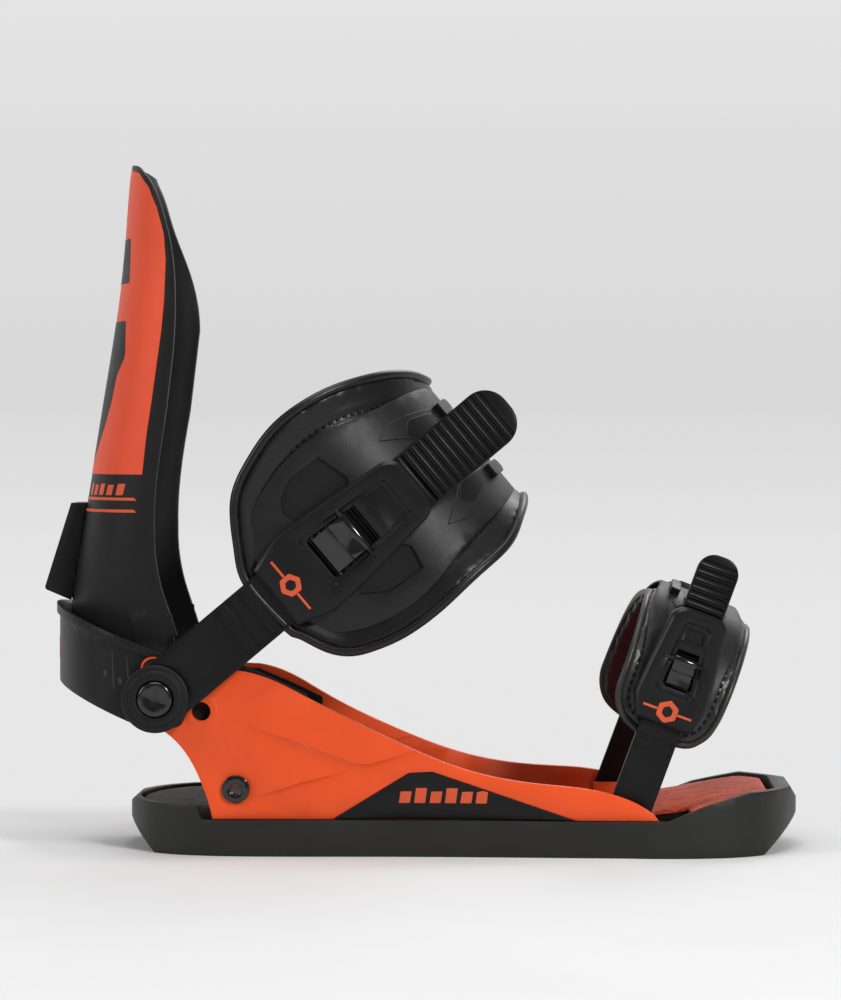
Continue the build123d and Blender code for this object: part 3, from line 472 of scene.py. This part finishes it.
def tube(name, path, radius, key, body, closed=True, sides=10, flat=1.0):
    """Round bead along a 3-D path in metres."""
    path = [Vector(p) for p in path]
    n = len(path)
    verts, faces = [], []
    ref = None
    for i, p in enumerate(path):
        before = path[(i - 1) % n] if closed or i else p
        after = path[(i + 1) % n] if closed or i < n - 1 else p
        along = (after - before).normalized()
        if ref is None:
            ref = along.orthogonal().normalized()
        ref = (ref - along * ref.dot(along)).normalized()
        other = along.cross(ref)
        for k in range(sides):
            a = 2 * math.pi * k / sides
            verts.append(p + (ref * math.cos(a) + other * math.sin(a) * flat) * radius * M)
    last = n if closed else n - 1
    for i in range(last):
        shift = 0
        if closed and i == n - 1:
            best = min(range(sides), key=lambda k: (verts[k] - verts[i * sides]).length)
            shift = best
        for k in range(sides):
            a, b = i * sides + k, i * sides + (k + 1) % sides
            c = ((i + 1) % n) * sides + (k + 1 + shift) % sides
            d = ((i + 1) % n) * sides + (k + shift) % sides
            faces.append([a, b, c, d])
    if not closed:
        faces.append(list(range(sides))[::-1])
        faces.append([(n - 1) * sides + k for k in range(sides)])
    obj = mesh_object(name, verts, faces, key, body)
    tidy_normals(obj)
    return obj


# place along a stitch, height above the seam and thickness, the last two in thread radii
STITCH = ((0, -0.5, 0.35), (0.2, 0.35, 0.9), (0.5, 0.6, 1.0), (0.8, 0.35, 0.9), (1, -0.5, 0.35))


def stitches(name, path, normals, pitch, length, radius, key, body):
    """Row of separate thread stitches along a 3-D path in metres."""
    lengths = np.concatenate([[0], np.cumsum([(b - a).length for a, b in zip(path, path[1:])])])
    co, no = np.array([tuple(p) for p in path]), np.array([tuple(q) for q in normals])
    verts, faces = [], []
    sides = 6

    def at(x):
        return Vector([np.interp(x, lengths, co[:, k]) for k in range(3)])

    for x in np.arange(0, lengths[-1] - length * M, pitch * M):
        a, b = at(x), at(x + length * M)
        out = Vector([np.interp(x, lengths, no[:, k]) for k in range(3)]).normalized()
        along = (b - a).normalized()
        side = along.cross(out).normalized()
        out = side.cross(along)
        base = len(verts)
        for t, lift, r in STITCH:
            centre = a.lerp(b, t) + out * lift * radius * M
            for k in range(sides):
                w = 2 * math.pi * k / sides
                verts.append(centre + (side * math.cos(w) + out * math.sin(w)) * radius * r * M)
        for i in range(4):
            for k in range(sides):
                p, q = base + i * sides + k, base + i * sides + (k + 1) % sides
                faces.append([p, q, q + sides, p + sides])
        faces.append([base + k for k in range(sides)][::-1])
        faces.append([base + 4 * sides + k for k in range(sides)])
    obj = mesh_object(name, verts, faces, key, body)
    tidy_normals(obj)
    return obj


# ---------------------------------------------------------------- padded straps
ANKLE_SIDE = [(59, 12), (60, -13), (62.6, -19), (67.4, -30), (73.3, -37), (81.6, -41.5), (95.4, -45.6),
              (112, -47), (132, -46)]
ANKLE_SIDE_TOP = [(132, 53), (112, 55), (94, 51), (78, 43), (66, 27)]
TOE_SIDE = [(35, 3), (36, -12), (40, -18), (47, -21.6), (62, -23.4)]
TOE_SIDE_TOP = [(60, 22), (48, 21.4), (40, 17), (36, 10)]


def pad_outline(strap, low, high, low_crest, high_crest):
    """Closed (arc length, v) outline of a pad that is the same on both sides of the foot.

    The crest lists hold (arc length before the crest, v).
    """
    middle = STRAP_ROWS[id(strap)][-1][0] / 2
    near = list(low) + [(middle - s, v) for s, v in low_crest]
    near_top = [(middle - s, v) for s, v in reversed(high_crest)] + list(high)
    far_low = [(2 * middle - s, v) for s, v in reversed(near[:-1])]
    far_top = [(2 * middle - s, v) for s, v in reversed(near_top[1:])]
    return smooth_loop(near + far_low + far_top + near_top)


CREST_REACH = 42.0                     # arc length over which the crest's rise fades into the side's
CURL = 1.7                             # how sharply the border curls up


def flare(strap, s, d, border, side_rise, crest_rise):
    """How far the border curls away from the foot, d from the edge."""
    middle = STRAP_ROWS[id(strap)][-1][0] / 2
    near_crest = np.exp(-((s - middle) / CREST_REACH) ** 2)
    rise = side_rise + (crest_rise - side_rise) * near_crest
    return rise * np.clip(1 - d / border, 0, 1) ** CURL


def apply_modifier(obj, kind, **settings):
    """Adds one modifier and applies it."""
    modifier = obj.modifiers.new(kind.lower(), kind)
    for name, value in settings.items():
        setattr(modifier, name, value)
    bpy.ops.object.modifier_apply(modifier=modifier.name)


STRETCH_STIFFNESS, BENDING_STIFFNESS = 20, 2


def swollen(obj, pressure, steps, hold):
    """Vertex places after a pressure simulation without gravity. hold is each vertex's pinning."""
    group = obj.vertex_groups.new(name="held")
    for i in np.nonzero(hold > 0.01)[0]:
        group.add([int(i)], float(hold[i]), "REPLACE")
    cloth = obj.modifiers.new("cloth", "CLOTH")
    cloth.settings.vertex_group_mass = group.name
    cloth.settings.use_pressure = True
    cloth.settings.uniform_pressure_force = pressure
    cloth.settings.effector_weights.gravity = 0
    cloth.settings.tension_stiffness = STRETCH_STIFFNESS
    cloth.settings.compression_stiffness = STRETCH_STIFFNESS
    cloth.settings.bending_stiffness = BENDING_STIFFNESS
    scene = bpy.context.scene
    for number in range(1, steps + 1):
        scene.frame_set(number)
    bpy.context.view_layer.update()
    seen = obj.evaluated_get(bpy.context.evaluated_depsgraph_get())
    moved = np.array([v.co for v in seen.data.vertices])
    obj.modifiers.remove(cloth)
    obj.vertex_groups.clear()
    scene.frame_set(1)
    return moved


def puff(obj, cap, steps=20, pressure=4.0, voxel=2.6, pinned=None):
    """Cloth simulation: the padded piece swells against its seams. cap limits the movement."""
    bpy.context.view_layer.objects.active = obj
    apply_modifier(obj, "REMESH", mode="VOXEL", voxel_size=voxel * M)
    rest = np.array([v.co for v in obj.data.vertices])
    hold = pinned(rest) if pinned else np.zeros(len(rest))
    shift = swollen(obj, pressure, steps, hold) - rest
    length = np.linalg.norm(shift, axis=1, keepdims=True)
    shift *= np.minimum(1, cap * M / np.maximum(length, 1e-9))
    shift *= (1 - np.clip(hold, 0, 1))[:, None]
    obj.data.vertices.foreach_set("co", (rest + shift).ravel())
    obj.data.update()
    apply_modifier(obj, "SMOOTH", iterations=3, factor=0.5)
    apply_modifier(obj, "SUBSURF", levels=1, render_levels=1)
    obj.data.shade_smooth()


def strap_coordinates(strap, points):
    """(arc length, v, distance out) of points in metres, by the nearest place on the loop."""
    rows = STRAP_ROWS[id(strap)]
    p = points / M - np.array([strap.x, 0, strap.z])
    c, s = math.cos(-strap.skew), math.sin(-strap.skew)
    x, y, z = p[:, 0] * c - p[:, 1] * s, p[:, 0] * s + p[:, 1] * c, p[:, 2]
    u = x * math.cos(strap.a) + z * math.sin(strap.a)
    v = -x * math.sin(strap.a) + z * math.cos(strap.a)
    out = np.empty((len(p), 3))
    for i in range(len(p)):
        k = int(np.argmin((rows[:, 1] - u[i]) ** 2 + (rows[:, 2] - y[i]) ** 2))
        away = (u[i] - rows[k, 1]) * rows[k, 3] + (y[i] - rows[k, 2]) * rows[k, 4]
        out[i] = rows[k, 0], v[i], away
    return out


def groove(pad, strap, ring, seam_at, deep=0.7):
    """Draws the outer face in along the seam."""
    co = np.array([v.co for v in pad.data.vertices])
    place = strap_coordinates(strap, co)
    d = to_edge(place[:, :2], ring)
    draw = deep * M * np.exp(-((d - seam_at) / 1.1) ** 2) * (place[:, 2] > -strap.pad * 0.5)
    normals = np.array([v.normal for v in pad.data.vertices])
    pad.data.vertices.foreach_set("co", (co - normals * draw[:, None]).ravel())
    pad.data.update()


def padded_strap(prefix, strap, outline, border, rises, body, keys, bead, seam_at, node, cap):
    """A padded strap: swollen body, rolled edge and a row of stitches."""
    ring = np.array(even_loop(outline, 3.0))

    def outer(s, v):
        d = to_edge(np.array([[s, v]]), ring)[0]
        return on_loop(strap, s, v, -0.1 + float(flare(strap, s, d, border, *rises)))

    def inner(s, v):
        d = to_edge(np.array([[s, v]]), ring)[0]
        lift = float(flare(strap, s, d, border, *rises))
        return on_loop(strap, s, v, -strap.pad + lift * 1.05 + 1.2 * max(0.0, 1 - d / 4.0))

    pad = sheet(f"{prefix}_cushion", outline, 3.0, outer, inner, keys[0], body)

    def held(points):
        place = strap_coordinates(strap, points)
        d = to_edge(place[:, :2], ring)
        seam = np.exp(-((d - seam_at) / 1.6) ** 2) * (place[:, 2] > -strap.pad * 0.55)
        covered = ((d > seam_at + 2) & (place[:, 2] > -strap.pad * 0.5)).astype(float)
        return np.maximum(seam, covered)

    puff(pad, cap, pinned=held)
    groove(pad, strap, ring, seam_at)
    pad.data.materials.append(MAT["lining"])
    centres = np.array([p.center for p in pad.data.polygons])
    place = strap_coordinates(strap, centres)
    d = to_edge(place[:, :2], ring)
    lift = flare(strap, place[:, 0], d, border, *rises)
    inward = place[:, 2] < -strap.pad * 0.62 + lift * 1.05
    for polygon, is_inner in zip(pad.data.polygons, inward & (d > 2.5)):
        polygon.material_index = int(is_inner)
    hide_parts(node)

    def border_path(inset, out):
        shrunk = shrink(outline, inset)
        rim = [(s, v, to_edge(np.array([[s, v]]), ring)[0]) for s, v in shrunk]
        rim = [(s, v, out + float(flare(strap, s, d, border, *rises))) for s, v, d in rim]
        path = [on_loop(strap, s, v, level) for s, v, level in rim]
        above = [on_loop(strap, s, v, level + 1) for s, v, level in rim]
        return path, [(b - a).normalized() for a, b in zip(path, above)]

    path, _ = border_path(0.6, -1.0)
    tube(f"{prefix}_rolled_edge", path, bead, keys[0], body)
    path, normals = border_path(seam_at, 0.0)
    skin = BVHTree.FromPolygons([v.co for v in pad.data.vertices], [p.vertices for p in pad.data.polygons])
    hits = [skin.ray_cast(p + n * 8 * M, -n)[0] for p, n in zip(path, normals)]
    path = [hit or p for hit, p in zip(hits, path)]
    path.append(path[0])
    normals.append(normals[0])
    stitches(f"{prefix}_stitches", path, normals, 3.4, 2.5, 0.55, keys[1], body)
    return pad


def shrink(outline, inset):
    """Outline moved inward by an even distance."""
    ring = even_loop(outline, 2.0)
    after, before = np.roll(ring, -1, axis=0), np.roll(ring, 1, axis=0)
    along = after - before
    along /= np.linalg.norm(along, axis=1, keepdims=True)
    normal = np.stack([-along[:, 1], along[:, 0]], 1)
    area = np.sum(ring[:, 0] * after[:, 1] - after[:, 0] * ring[:, 1])
    return ring + normal * inset * (1 if area > 0 else -1)


ankle_outline = pad_outline(ANKLE, ANKLE_SIDE, ANKLE_SIDE_TOP, [(48, -45), (26, -39), (0, -34.5)],
                            [(48, 46), (26, 38.5), (0, 31)])
toe_outline = pad_outline(TOE, TOE_SIDE, TOE_SIDE_TOP, [(26, -25), (0, -25.5)], [(26, 21.5), (0, 19)])
padded_strap("ankle_pad", ANKLE, ankle_outline, 13.0, (4.6, 3.4), "ankle_strap_body",
             ("leather", "thread"), 2.0, 12.4, "ankle_pad", 1.3)
padded_strap("toe_pad", TOE, toe_outline, 8.0, (0.6, -5.0), "toe_strap_body",
             ("leather2", "thread"), 1.5, 4.6, "toe_pad", 1.4)


def on_frame(name, strap, outline, low, high, key, body):
    """Raised detail on a strap frame. outline is (arc length from the crest, v)."""
    middle = STRAP_ROWS[id(strap)][-1][0] / 2
    ring = [(middle + s, v) for s, v in outline]
    obj = sheet(name, ring, 2.0, lambda s, v: on_loop(strap, s, v, high),
                lambda s, v: on_loop(strap, s, v, low), key, body)
    edge = obj.modifiers.new("rounded_edges", "BEVEL")
    edge.width = 0.3 * M
    edge.segments = 2
    edge.limit_method = "ANGLE"
    return obj


FACET = [(-64, 22.5), (-54, 26), (-28, 20.5), (-20, 15), (-22, 12), (-46, 12)]
FACET_FACE = [(-52, 17.5), (-46, 22), (-30, 18.5), (-25, 15), (-27, 12.5), (-46, 12.5)]
CLIP = [(-24, 13.5), (-24, 20), (-13, 20), (-11, 18), (-11, 15.4), (-13, 13.5)]
RAISED = (("facet", FACET, 1.0, 1.8, "frame"), ("facet_face", FACET_FACE, 1.5, 2.2, "satin"),
          ("clip", CLIP, 1.0, 4.6, "satin"))
for strap, prefix, body, scale, lean, clip_grow in (
        (ANKLE, "ankle", "ankle_strap_body", 1.0, 1.0, (1.0, 1.0)),
        (TOE, "toe", "toe_strap_body", 0.62, 0.8, (1.45, 1.3))):
    for part, outline, low, high, key in RAISED:
        along, over = clip_grow if part == "clip" else (1.0, 1.0)
        for side, flip in (("top", 1), ("low", -1)):
            shape = [(s * scale * along, flip * v * scale * lean * over) for s, v in outline]
            on_frame(f"{prefix}_{part}_{side}", strap, shape, low, high, key, body)


def tree(node):
    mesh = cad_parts[node].data
    return BVHTree.FromPolygons([v.co for v in mesh.vertices], [p.vertices for p in mesh.polygons])


# ---------------------------------------------------------------- foam pads
RAMP_MIDDLE = ([70.5, 102, 137], [14.7, 19.0, 23.8])    # mid height of the ramp's foam along X
RAMP_TOP = ([70.5, 102, 124, 137], [15.8, 20.4, 25.9, 26.0])    # its swollen top, level with the sole's rim


def foam_pad(node, key, body, support, cap, voxel):
    """Foam in place of a plain solid: free faces swell up to cap, faces on the support stay put."""
    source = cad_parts[node].data
    verts = np.array([v.co for v in source.vertices])
    if node == "toe_ramp_pad":
        x, z = verts[:, 0] / M, verts[:, 2] / M
        verts[:, 2] = np.where(z > np.interp(x, *RAMP_MIDDLE), np.interp(x, *RAMP_TOP), z) * M
    pad = mesh_object(f"{node}_foam", verts, [p.vertices for p in source.polygons], key, body)
    skin = tree(support)

    def glued(points):
        near = [skin.find_nearest(Vector(p))[3] for p in points]
        return np.array([1.0 if d is None or d < 1.1 * M else 0.0 for d in near])

    puff(pad, cap, steps=10, pressure=3.0, voxel=voxel, pinned=glued)
    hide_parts(node)


for node, key, body, support, cap, voxel in (
        ("heel_footbed", "marble", "base", "baseplate", 0.6, 1.6),
        ("arch_footbed", "marble", "base", "baseplate", 0.5, 1.4),
        ("arm_liners", "liner", "base", "baseplate", 0.15, 0.7),
        ("toe_ramp_pad", "streaks", "toe_ramp", "toe_ramp_wedge", 0.5, 1.2),
        ("highback_pad", "liner", "highback", "highback_shell", 0.8, 1.6)):
    foam_pad(node, key, body, support, cap, voxel)


# ---------------------------------------------------------------- prints
TREES = {node: tree(node) for node in ("highback_shell", "heel_hoop", "side_panel_medial",
                                       "side_panel_lateral", "baseplate")}


def film(name, pts, faces, top, low, key, body):
    """Closed thin solid from two layers of points; faces with a missing point are left out."""
    faces = [f for f in faces if all(top[i] is not None for i in f)]
    used = sorted({i for f in faces for i in f})
    index = {v: k for k, v in enumerate(used)}
    faces = [[index[i] for i in f] for f in faces]
    count = len(used)
    sides = {}
    for f in faces:
        for p, q in zip(f, f[1:] + f[:1]):
            sides[(p, q)] = True
    walls = [[q, p, p + count, q + count] for p, q in sides if (q, p) not in sides]
    solid = faces + [[i + count for i in reversed(f)] for f in faces] + walls
    obj = mesh_object(name, [top[i] for i in used] + [low[i] for i in used], solid, key, body)
    tidy_normals(obj)
    return obj


def print_on(name, node, outline, ray, key, body, step=2.0, lift=0.06, thick=0.09):
    """Thin printed film on a CAD surface. ray maps 2-D points to an origin and a direction."""
    pts, faces, n = fill(outline, step)
    top, low = [], []
    for p in pts:
        origin, direction = ray(*p)
        hit = TREES[node].ray_cast(origin, direction)[0]
        top.append(None if hit is None else hit - direction * (lift + thick) * M)
        low.append(None if hit is None else hit - direction * (lift - 0.3) * M)
    return film(name, pts, faces, top, low, key, body)


SHELL = np.array([(80, -165.2, -114, 49.4), (104, -164.4, -119, 50.2), (128, -160.6, -124, 51.4),
                  (156, -155.9, -122.5, 52.6), (188, -150.7, -118.6, 53.4), (222, -145.2, -114.6, 53.6),
                  (256, -141.2, -113.6, 53.0), (292, -137.6, -116.0, 52.0)])
AXIS_X = -112.0


def back_ray(turn, z):
    """Ray towards the highback's outer face. turn is degrees from the spine, positive on the inner side."""
    a = math.radians(turn)
    away = Vector((-math.cos(a), -math.sin(a), 0))
    return Vector((AXIS_X, 0, z)) * M + away * 0.2, -away


def turn_at(x, z):
    """Turn of the point of the outer face at the given X and height."""
    spine, front, half = (np.interp(z, SHELL[:, 0], SHELL[:, k]) for k in (1, 2, 3))
    c = min(1.0, max(0.0, (front - x) / (front - spine)))
    y = half * math.sqrt(1 - c * c)
    return math.degrees(math.atan2(y, AXIS_X - x))


PRINT_EDGE = [(158.5, -129.0), (175, -127.2), (190, -124.9), (205, -122.8), (218, -121.0), (231, -119.8),
              (248, -119.2), (259, -120.0), (270, -123.0), (279, -126.6), (285, -131.0), (289, -137.0)]


def back_print(name, right, key, lift=0.05):
    """Print that is the same on both sides of the spine: right is (turn, z) from bottom to top."""
    outline = [(t, z) for t, z in right] + [(-t, z) for t, z in reversed(right)]
    dense = []
    for (t0, z0), (t1, z1) in zip(outline, outline[1:] + outline[:1]):
        steps = max(1, int(max(abs(t1 - t0), abs(z1 - z0)) / 3))
        dense += [(t0 + (t1 - t0) * i / steps, z0 + (z1 - z0) * i / steps) for i in range(steps)]
    return print_on(name, "highback_shell", dense, back_ray, key, "highback", 2.5, lift)


back_print("highback_print_field", [(turn_at(x, z), z) for z, x in PRINT_EDGE], "red")
back_print("highback_print_bar", [(54, 239), (52, 258)], "blackink", 0.13)
SHIELD = [(17, 164), (30, 170), (38, 178), (45, 188), (49, 200), (57, 208), (54, 223)]
back_print("highback_print_shield", SHIELD, "blackink", 0.13)
LINE_END_X = -131.5                    # the two lines under the print end here
for low, high, label in ((142.6, 143.8, "low"), (147.6, 148.8, "high")):
    back_print(f"highback_line_{label}", [(turn_at(LINE_END_X, z), z) for z in (low, high)], "ink")
FIRST_MARK, MARK_PITCH = 27, 7.5       # degrees from the spine
for i in range(5):
    t = FIRST_MARK + i * MARK_PITCH
    low, high = 149.8, 154.6 - 0.5 * (i % 2)
    outline = [(t, low), (t + 4.6, low), (t + 6.0, high), (t + 1.4, high)]
    print_on(f"highback_mark_{i}", "highback_shell", outline, back_ray, "ink", "highback", 1.5, 0.05)


def side_ray(side):
    """Ray across the binding towards one side's outer face."""
    def ray(x, z):
        return Vector((x, side * 120, z)) * M, Vector((0, -side, 0))
    return ray


def bar(x, z, width, height, lean):
    """Upright bar, leaning over by lean at its top."""
    return [(x, z), (x + width, z), (x + width + lean, z + height), (x + lean, z + height)]


for side, label in ((-1, "medial"), (1, "lateral")):
    for i in range(6):
        x = -22.0 + i * 6.4
        shape = bar(x, 22.0, 4.6, 6.2 if i % 2 else 4.8, 0.8)
        print_on(f"panel_mark_{label}_{i}", f"side_panel_{label}", shape, side_ray(side), "ink", "base",
                 1.5)
    for i, (x, z) in enumerate(((-140.4, 69.5), (-134.0, 66.5))):
        marks = {"index": bar(x, z, 0.7, 16.5, -0.8), "dot": bar(x - 4.2, z + 5, 1.6, 3.0, 0.0)}
        for part, shape in marks.items():
            print_on(f"hoop_{part}_{label}_{i}", "heel_hoop", shape, side_ray(side), "gloss", "hoop", 1.0)


def hoop_ray(turn, z):
    """Ray towards the back of the hoop. turn is degrees from its middle."""
    a = math.radians(turn)
    away = Vector((-math.cos(a), -math.sin(a), 0))
    return Vector((-132, 0, z)) * M + away * 0.2, -away


FIRST_HOOP_MARK, HOOP_MARK_PITCH, HOOP_MARK_WIDTH = -38, 10, 6    # degrees
HOOP_MARK_Z = (80, 89.5)
for i in range(7):
    turn = FIRST_HOOP_MARK + i * HOOP_MARK_PITCH
    shape = [(turn, HOOP_MARK_Z[0]), (turn + HOOP_MARK_WIDTH, HOOP_MARK_Z[0]),
             (turn + HOOP_MARK_WIDTH, HOOP_MARK_Z[1]), (turn, HOOP_MARK_Z[1])]
    print_on(f"hoop_mark_{i}", "heel_hoop", shape, hoop_ray, "ink", "hoop", 2.0)


def emblem(prefix, strap, u, tilt, half, face, body):
    """Orange line with a hollow hexagon across the lower end of an adjuster."""
    c, s = math.cos(math.radians(tilt)), math.sin(math.radians(tilt))

    def lay(out):
        return lambda a, b: strap.point(u + a * c + b * s, -a * s + b * c, -(face + out))

    def piece(name, outline, key, top):
        sheet(f"{prefix}_{name}", outline, 1.0, lay(top), lay(-0.2), key, body)

    size, line = 4.9, 0.5
    for name, near, end in (("line_low", 0.5 - size, -half), ("line_high", size - 0.5, half)):
        piece(name, [(-line, near), (line, near), (line, end), (-line, end)], "ink", 0.08)
    corners = [math.radians(60 * i) for i in range(6)]
    ring = [(size * math.cos(corner), size * math.sin(corner)) for corner in corners]
    piece("hexagon", ring, "ink", 0.08)
    piece("hexagon_core", [(x * 0.5, y * 0.5) for x, y in ring], "blackink", 0.14)


emblem("ankle_emblem", ANKLE, 73.2, 0, 12.6, 69.0, "ankle_strap_body")
emblem("toe_emblem", TOE, 47.8, 0, 10.6, 60.8, "toe_strap_body")


# ---------------------------------------------------------------- studio
FLOOR_EDGE = 0.134                     # where the white floor ends and the grey sweep begins
WALL_Y = 3.1


def studio_sweep():
    """White floor that runs back into a pale grey wall, in one sheet. Beyond the floor's edge the sheet
    glows instead of taking lamp light: painted light that is brightest at the foot, dimmest low on the wall
    and brighter again higher up.
    """
    rows = [(-4.0, 0.0), (0.0, 0.0), (1.0, 0.0), (2.2, 0.0), (2.6, 0.05), (2.9, 0.25), (3.05, 0.6),
            (WALL_Y, 1.2), (WALL_Y, 4.0)]
    mesh = bpy.data.meshes.new("studio_sweep")
    mesh.from_pydata([(x, y, z) for y, z in rows for x in (-5, 5)], [],
                     [(2 * i, 2 * i + 1, 2 * i + 3, 2 * i + 2) for i in range(len(rows) - 1)])
    obj = bpy.data.objects.new("studio_sweep", mesh)
    bpy.context.collection.objects.link(obj)
    mat, nodes, links = new_material("studio_sweep")
    shader = nodes["Principled BSDF"]
    tint = ramp(nodes, links, noise(nodes, links, 3.0), [(0.4, (0.71,) * 3), (0.6, (0.73,) * 3)])
    links.new(tint, shader.inputs["Base Color"])
    shader.inputs["Roughness"].default_value = 0.8
    shader.inputs["Specular IOR Level"].default_value = 0.1
    coord = nodes.new("ShaderNodeTexCoord")
    axes = nodes.new("ShaderNodeSeparateXYZ")
    links.new(coord.outputs["Object"], axes.inputs["Vector"])
    # the grey sweep glows: painted light, brighter or dimmer by height, in place of a lit grey wall
    wall = nodes.new("ShaderNodeEmission")
    painted_light_greys = [(z, (grey,) * 3) for z, grey in ((0.0, 0.80), (0.22, 0.69), (0.5, 0.73), (0.75, 0.78))]
    links.new(ramp(nodes, links, axes.outputs["Z"], painted_light_greys), wall.inputs["Color"])
    edge = nodes.new("ShaderNodeMapRange")
    edge.inputs["From Min"].default_value = FLOOR_EDGE - 0.02
    edge.inputs["From Max"].default_value = FLOOR_EDGE + 0.03
    links.new(axes.outputs["Y"], edge.inputs["Value"])
    mix = nodes.new("ShaderNodeMixShader")
    links.new(edge.outputs["Result"], mix.inputs["Fac"])
    links.new(shader.outputs["BSDF"], mix.inputs[1])
    links.new(wall.outputs["Emission"], mix.inputs[2])
    links.new(mix.outputs["Shader"], nodes["Material Output"].inputs["Surface"])
    mesh.materials.append(mat)
    mesh.shade_smooth()


def area_light(name, location, target, size, power):
    """Square soft light aimed at target. size is in metres, power in watts."""
    data = bpy.data.lights.new(name, "AREA")
    data.energy = power
    data.size = size
    obj = bpy.data.objects.new(name, data)
    bpy.context.collection.objects.link(obj)
    obj.location = location
    obj.rotation_euler = (Vector(target) - Vector(location)).to_track_quat("-Z", "Y").to_euler()


def grey_room(seen, lit):
    """World that shows a pale grey and lights the object more weakly."""
    world = bpy.data.worlds.new("studio")
    bpy.context.scene.world = world
    world.use_nodes = True
    nodes, links = world.node_tree.nodes, world.node_tree.links
    path = nodes.new("ShaderNodeLightPath")
    level = nodes.new("ShaderNodeMapRange")
    level.inputs["To Min"].default_value = lit
    level.inputs["To Max"].default_value = seen
    links.new(path.outputs["Is Camera Ray"], level.inputs["Value"])
    nodes["Background"].inputs["Color"].default_value = (1, 1, 1, 1)
    links.new(level.outputs["Result"], nodes["Background"].inputs["Strength"])


studio_sweep()
grey_room(0.76, 0.16)
area_light("key", (1.1, -1.5, 1.2), (0, 0, 0.12), 0.4, 27)
area_light("top", (-0.2, -0.1, 1.9), (0, 0, 0.1), 1.1, 17)
area_light("left", (-1.5, -0.7, 0.8), (0, 0, 0.12), 0.7, 9)
area_light("back_rim", (0.5, 1.2, 1.2), (-0.05, 0, 0.15), 0.7, 6)

# ---------------------------------------------------------------- camera
DISTANCE, HEIGHT, LENS_X = 1.600, 0.175, 0.0410
FRAME_W = 0.4305                       # width covered by the long side at the binding
CENTRE = (-0.01485, 0.147)             # what the middle of the picture shows, X and Z
camera_data = bpy.data.cameras.new("camera")
camera = bpy.data.objects.new("camera", camera_data)
bpy.context.collection.objects.link(camera)
camera.location = (LENS_X, -DISTANCE, HEIGHT)
camera.rotation_euler = (math.pi / 2, 0, 0)
camera_data.sensor_width = 36.0
camera_data.lens = 36.0 * DISTANCE / FRAME_W
camera_data.shift_x = (CENTRE[0] - LENS_X) / FRAME_W
camera_data.shift_y = (CENTRE[1] - HEIGHT) / FRAME_W
camera_data.clip_start, camera_data.clip_end = 0.05, 20.0
bpy.context.scene.camera = camera
bpy.context.scene.view_settings.view_transform = "Standard"
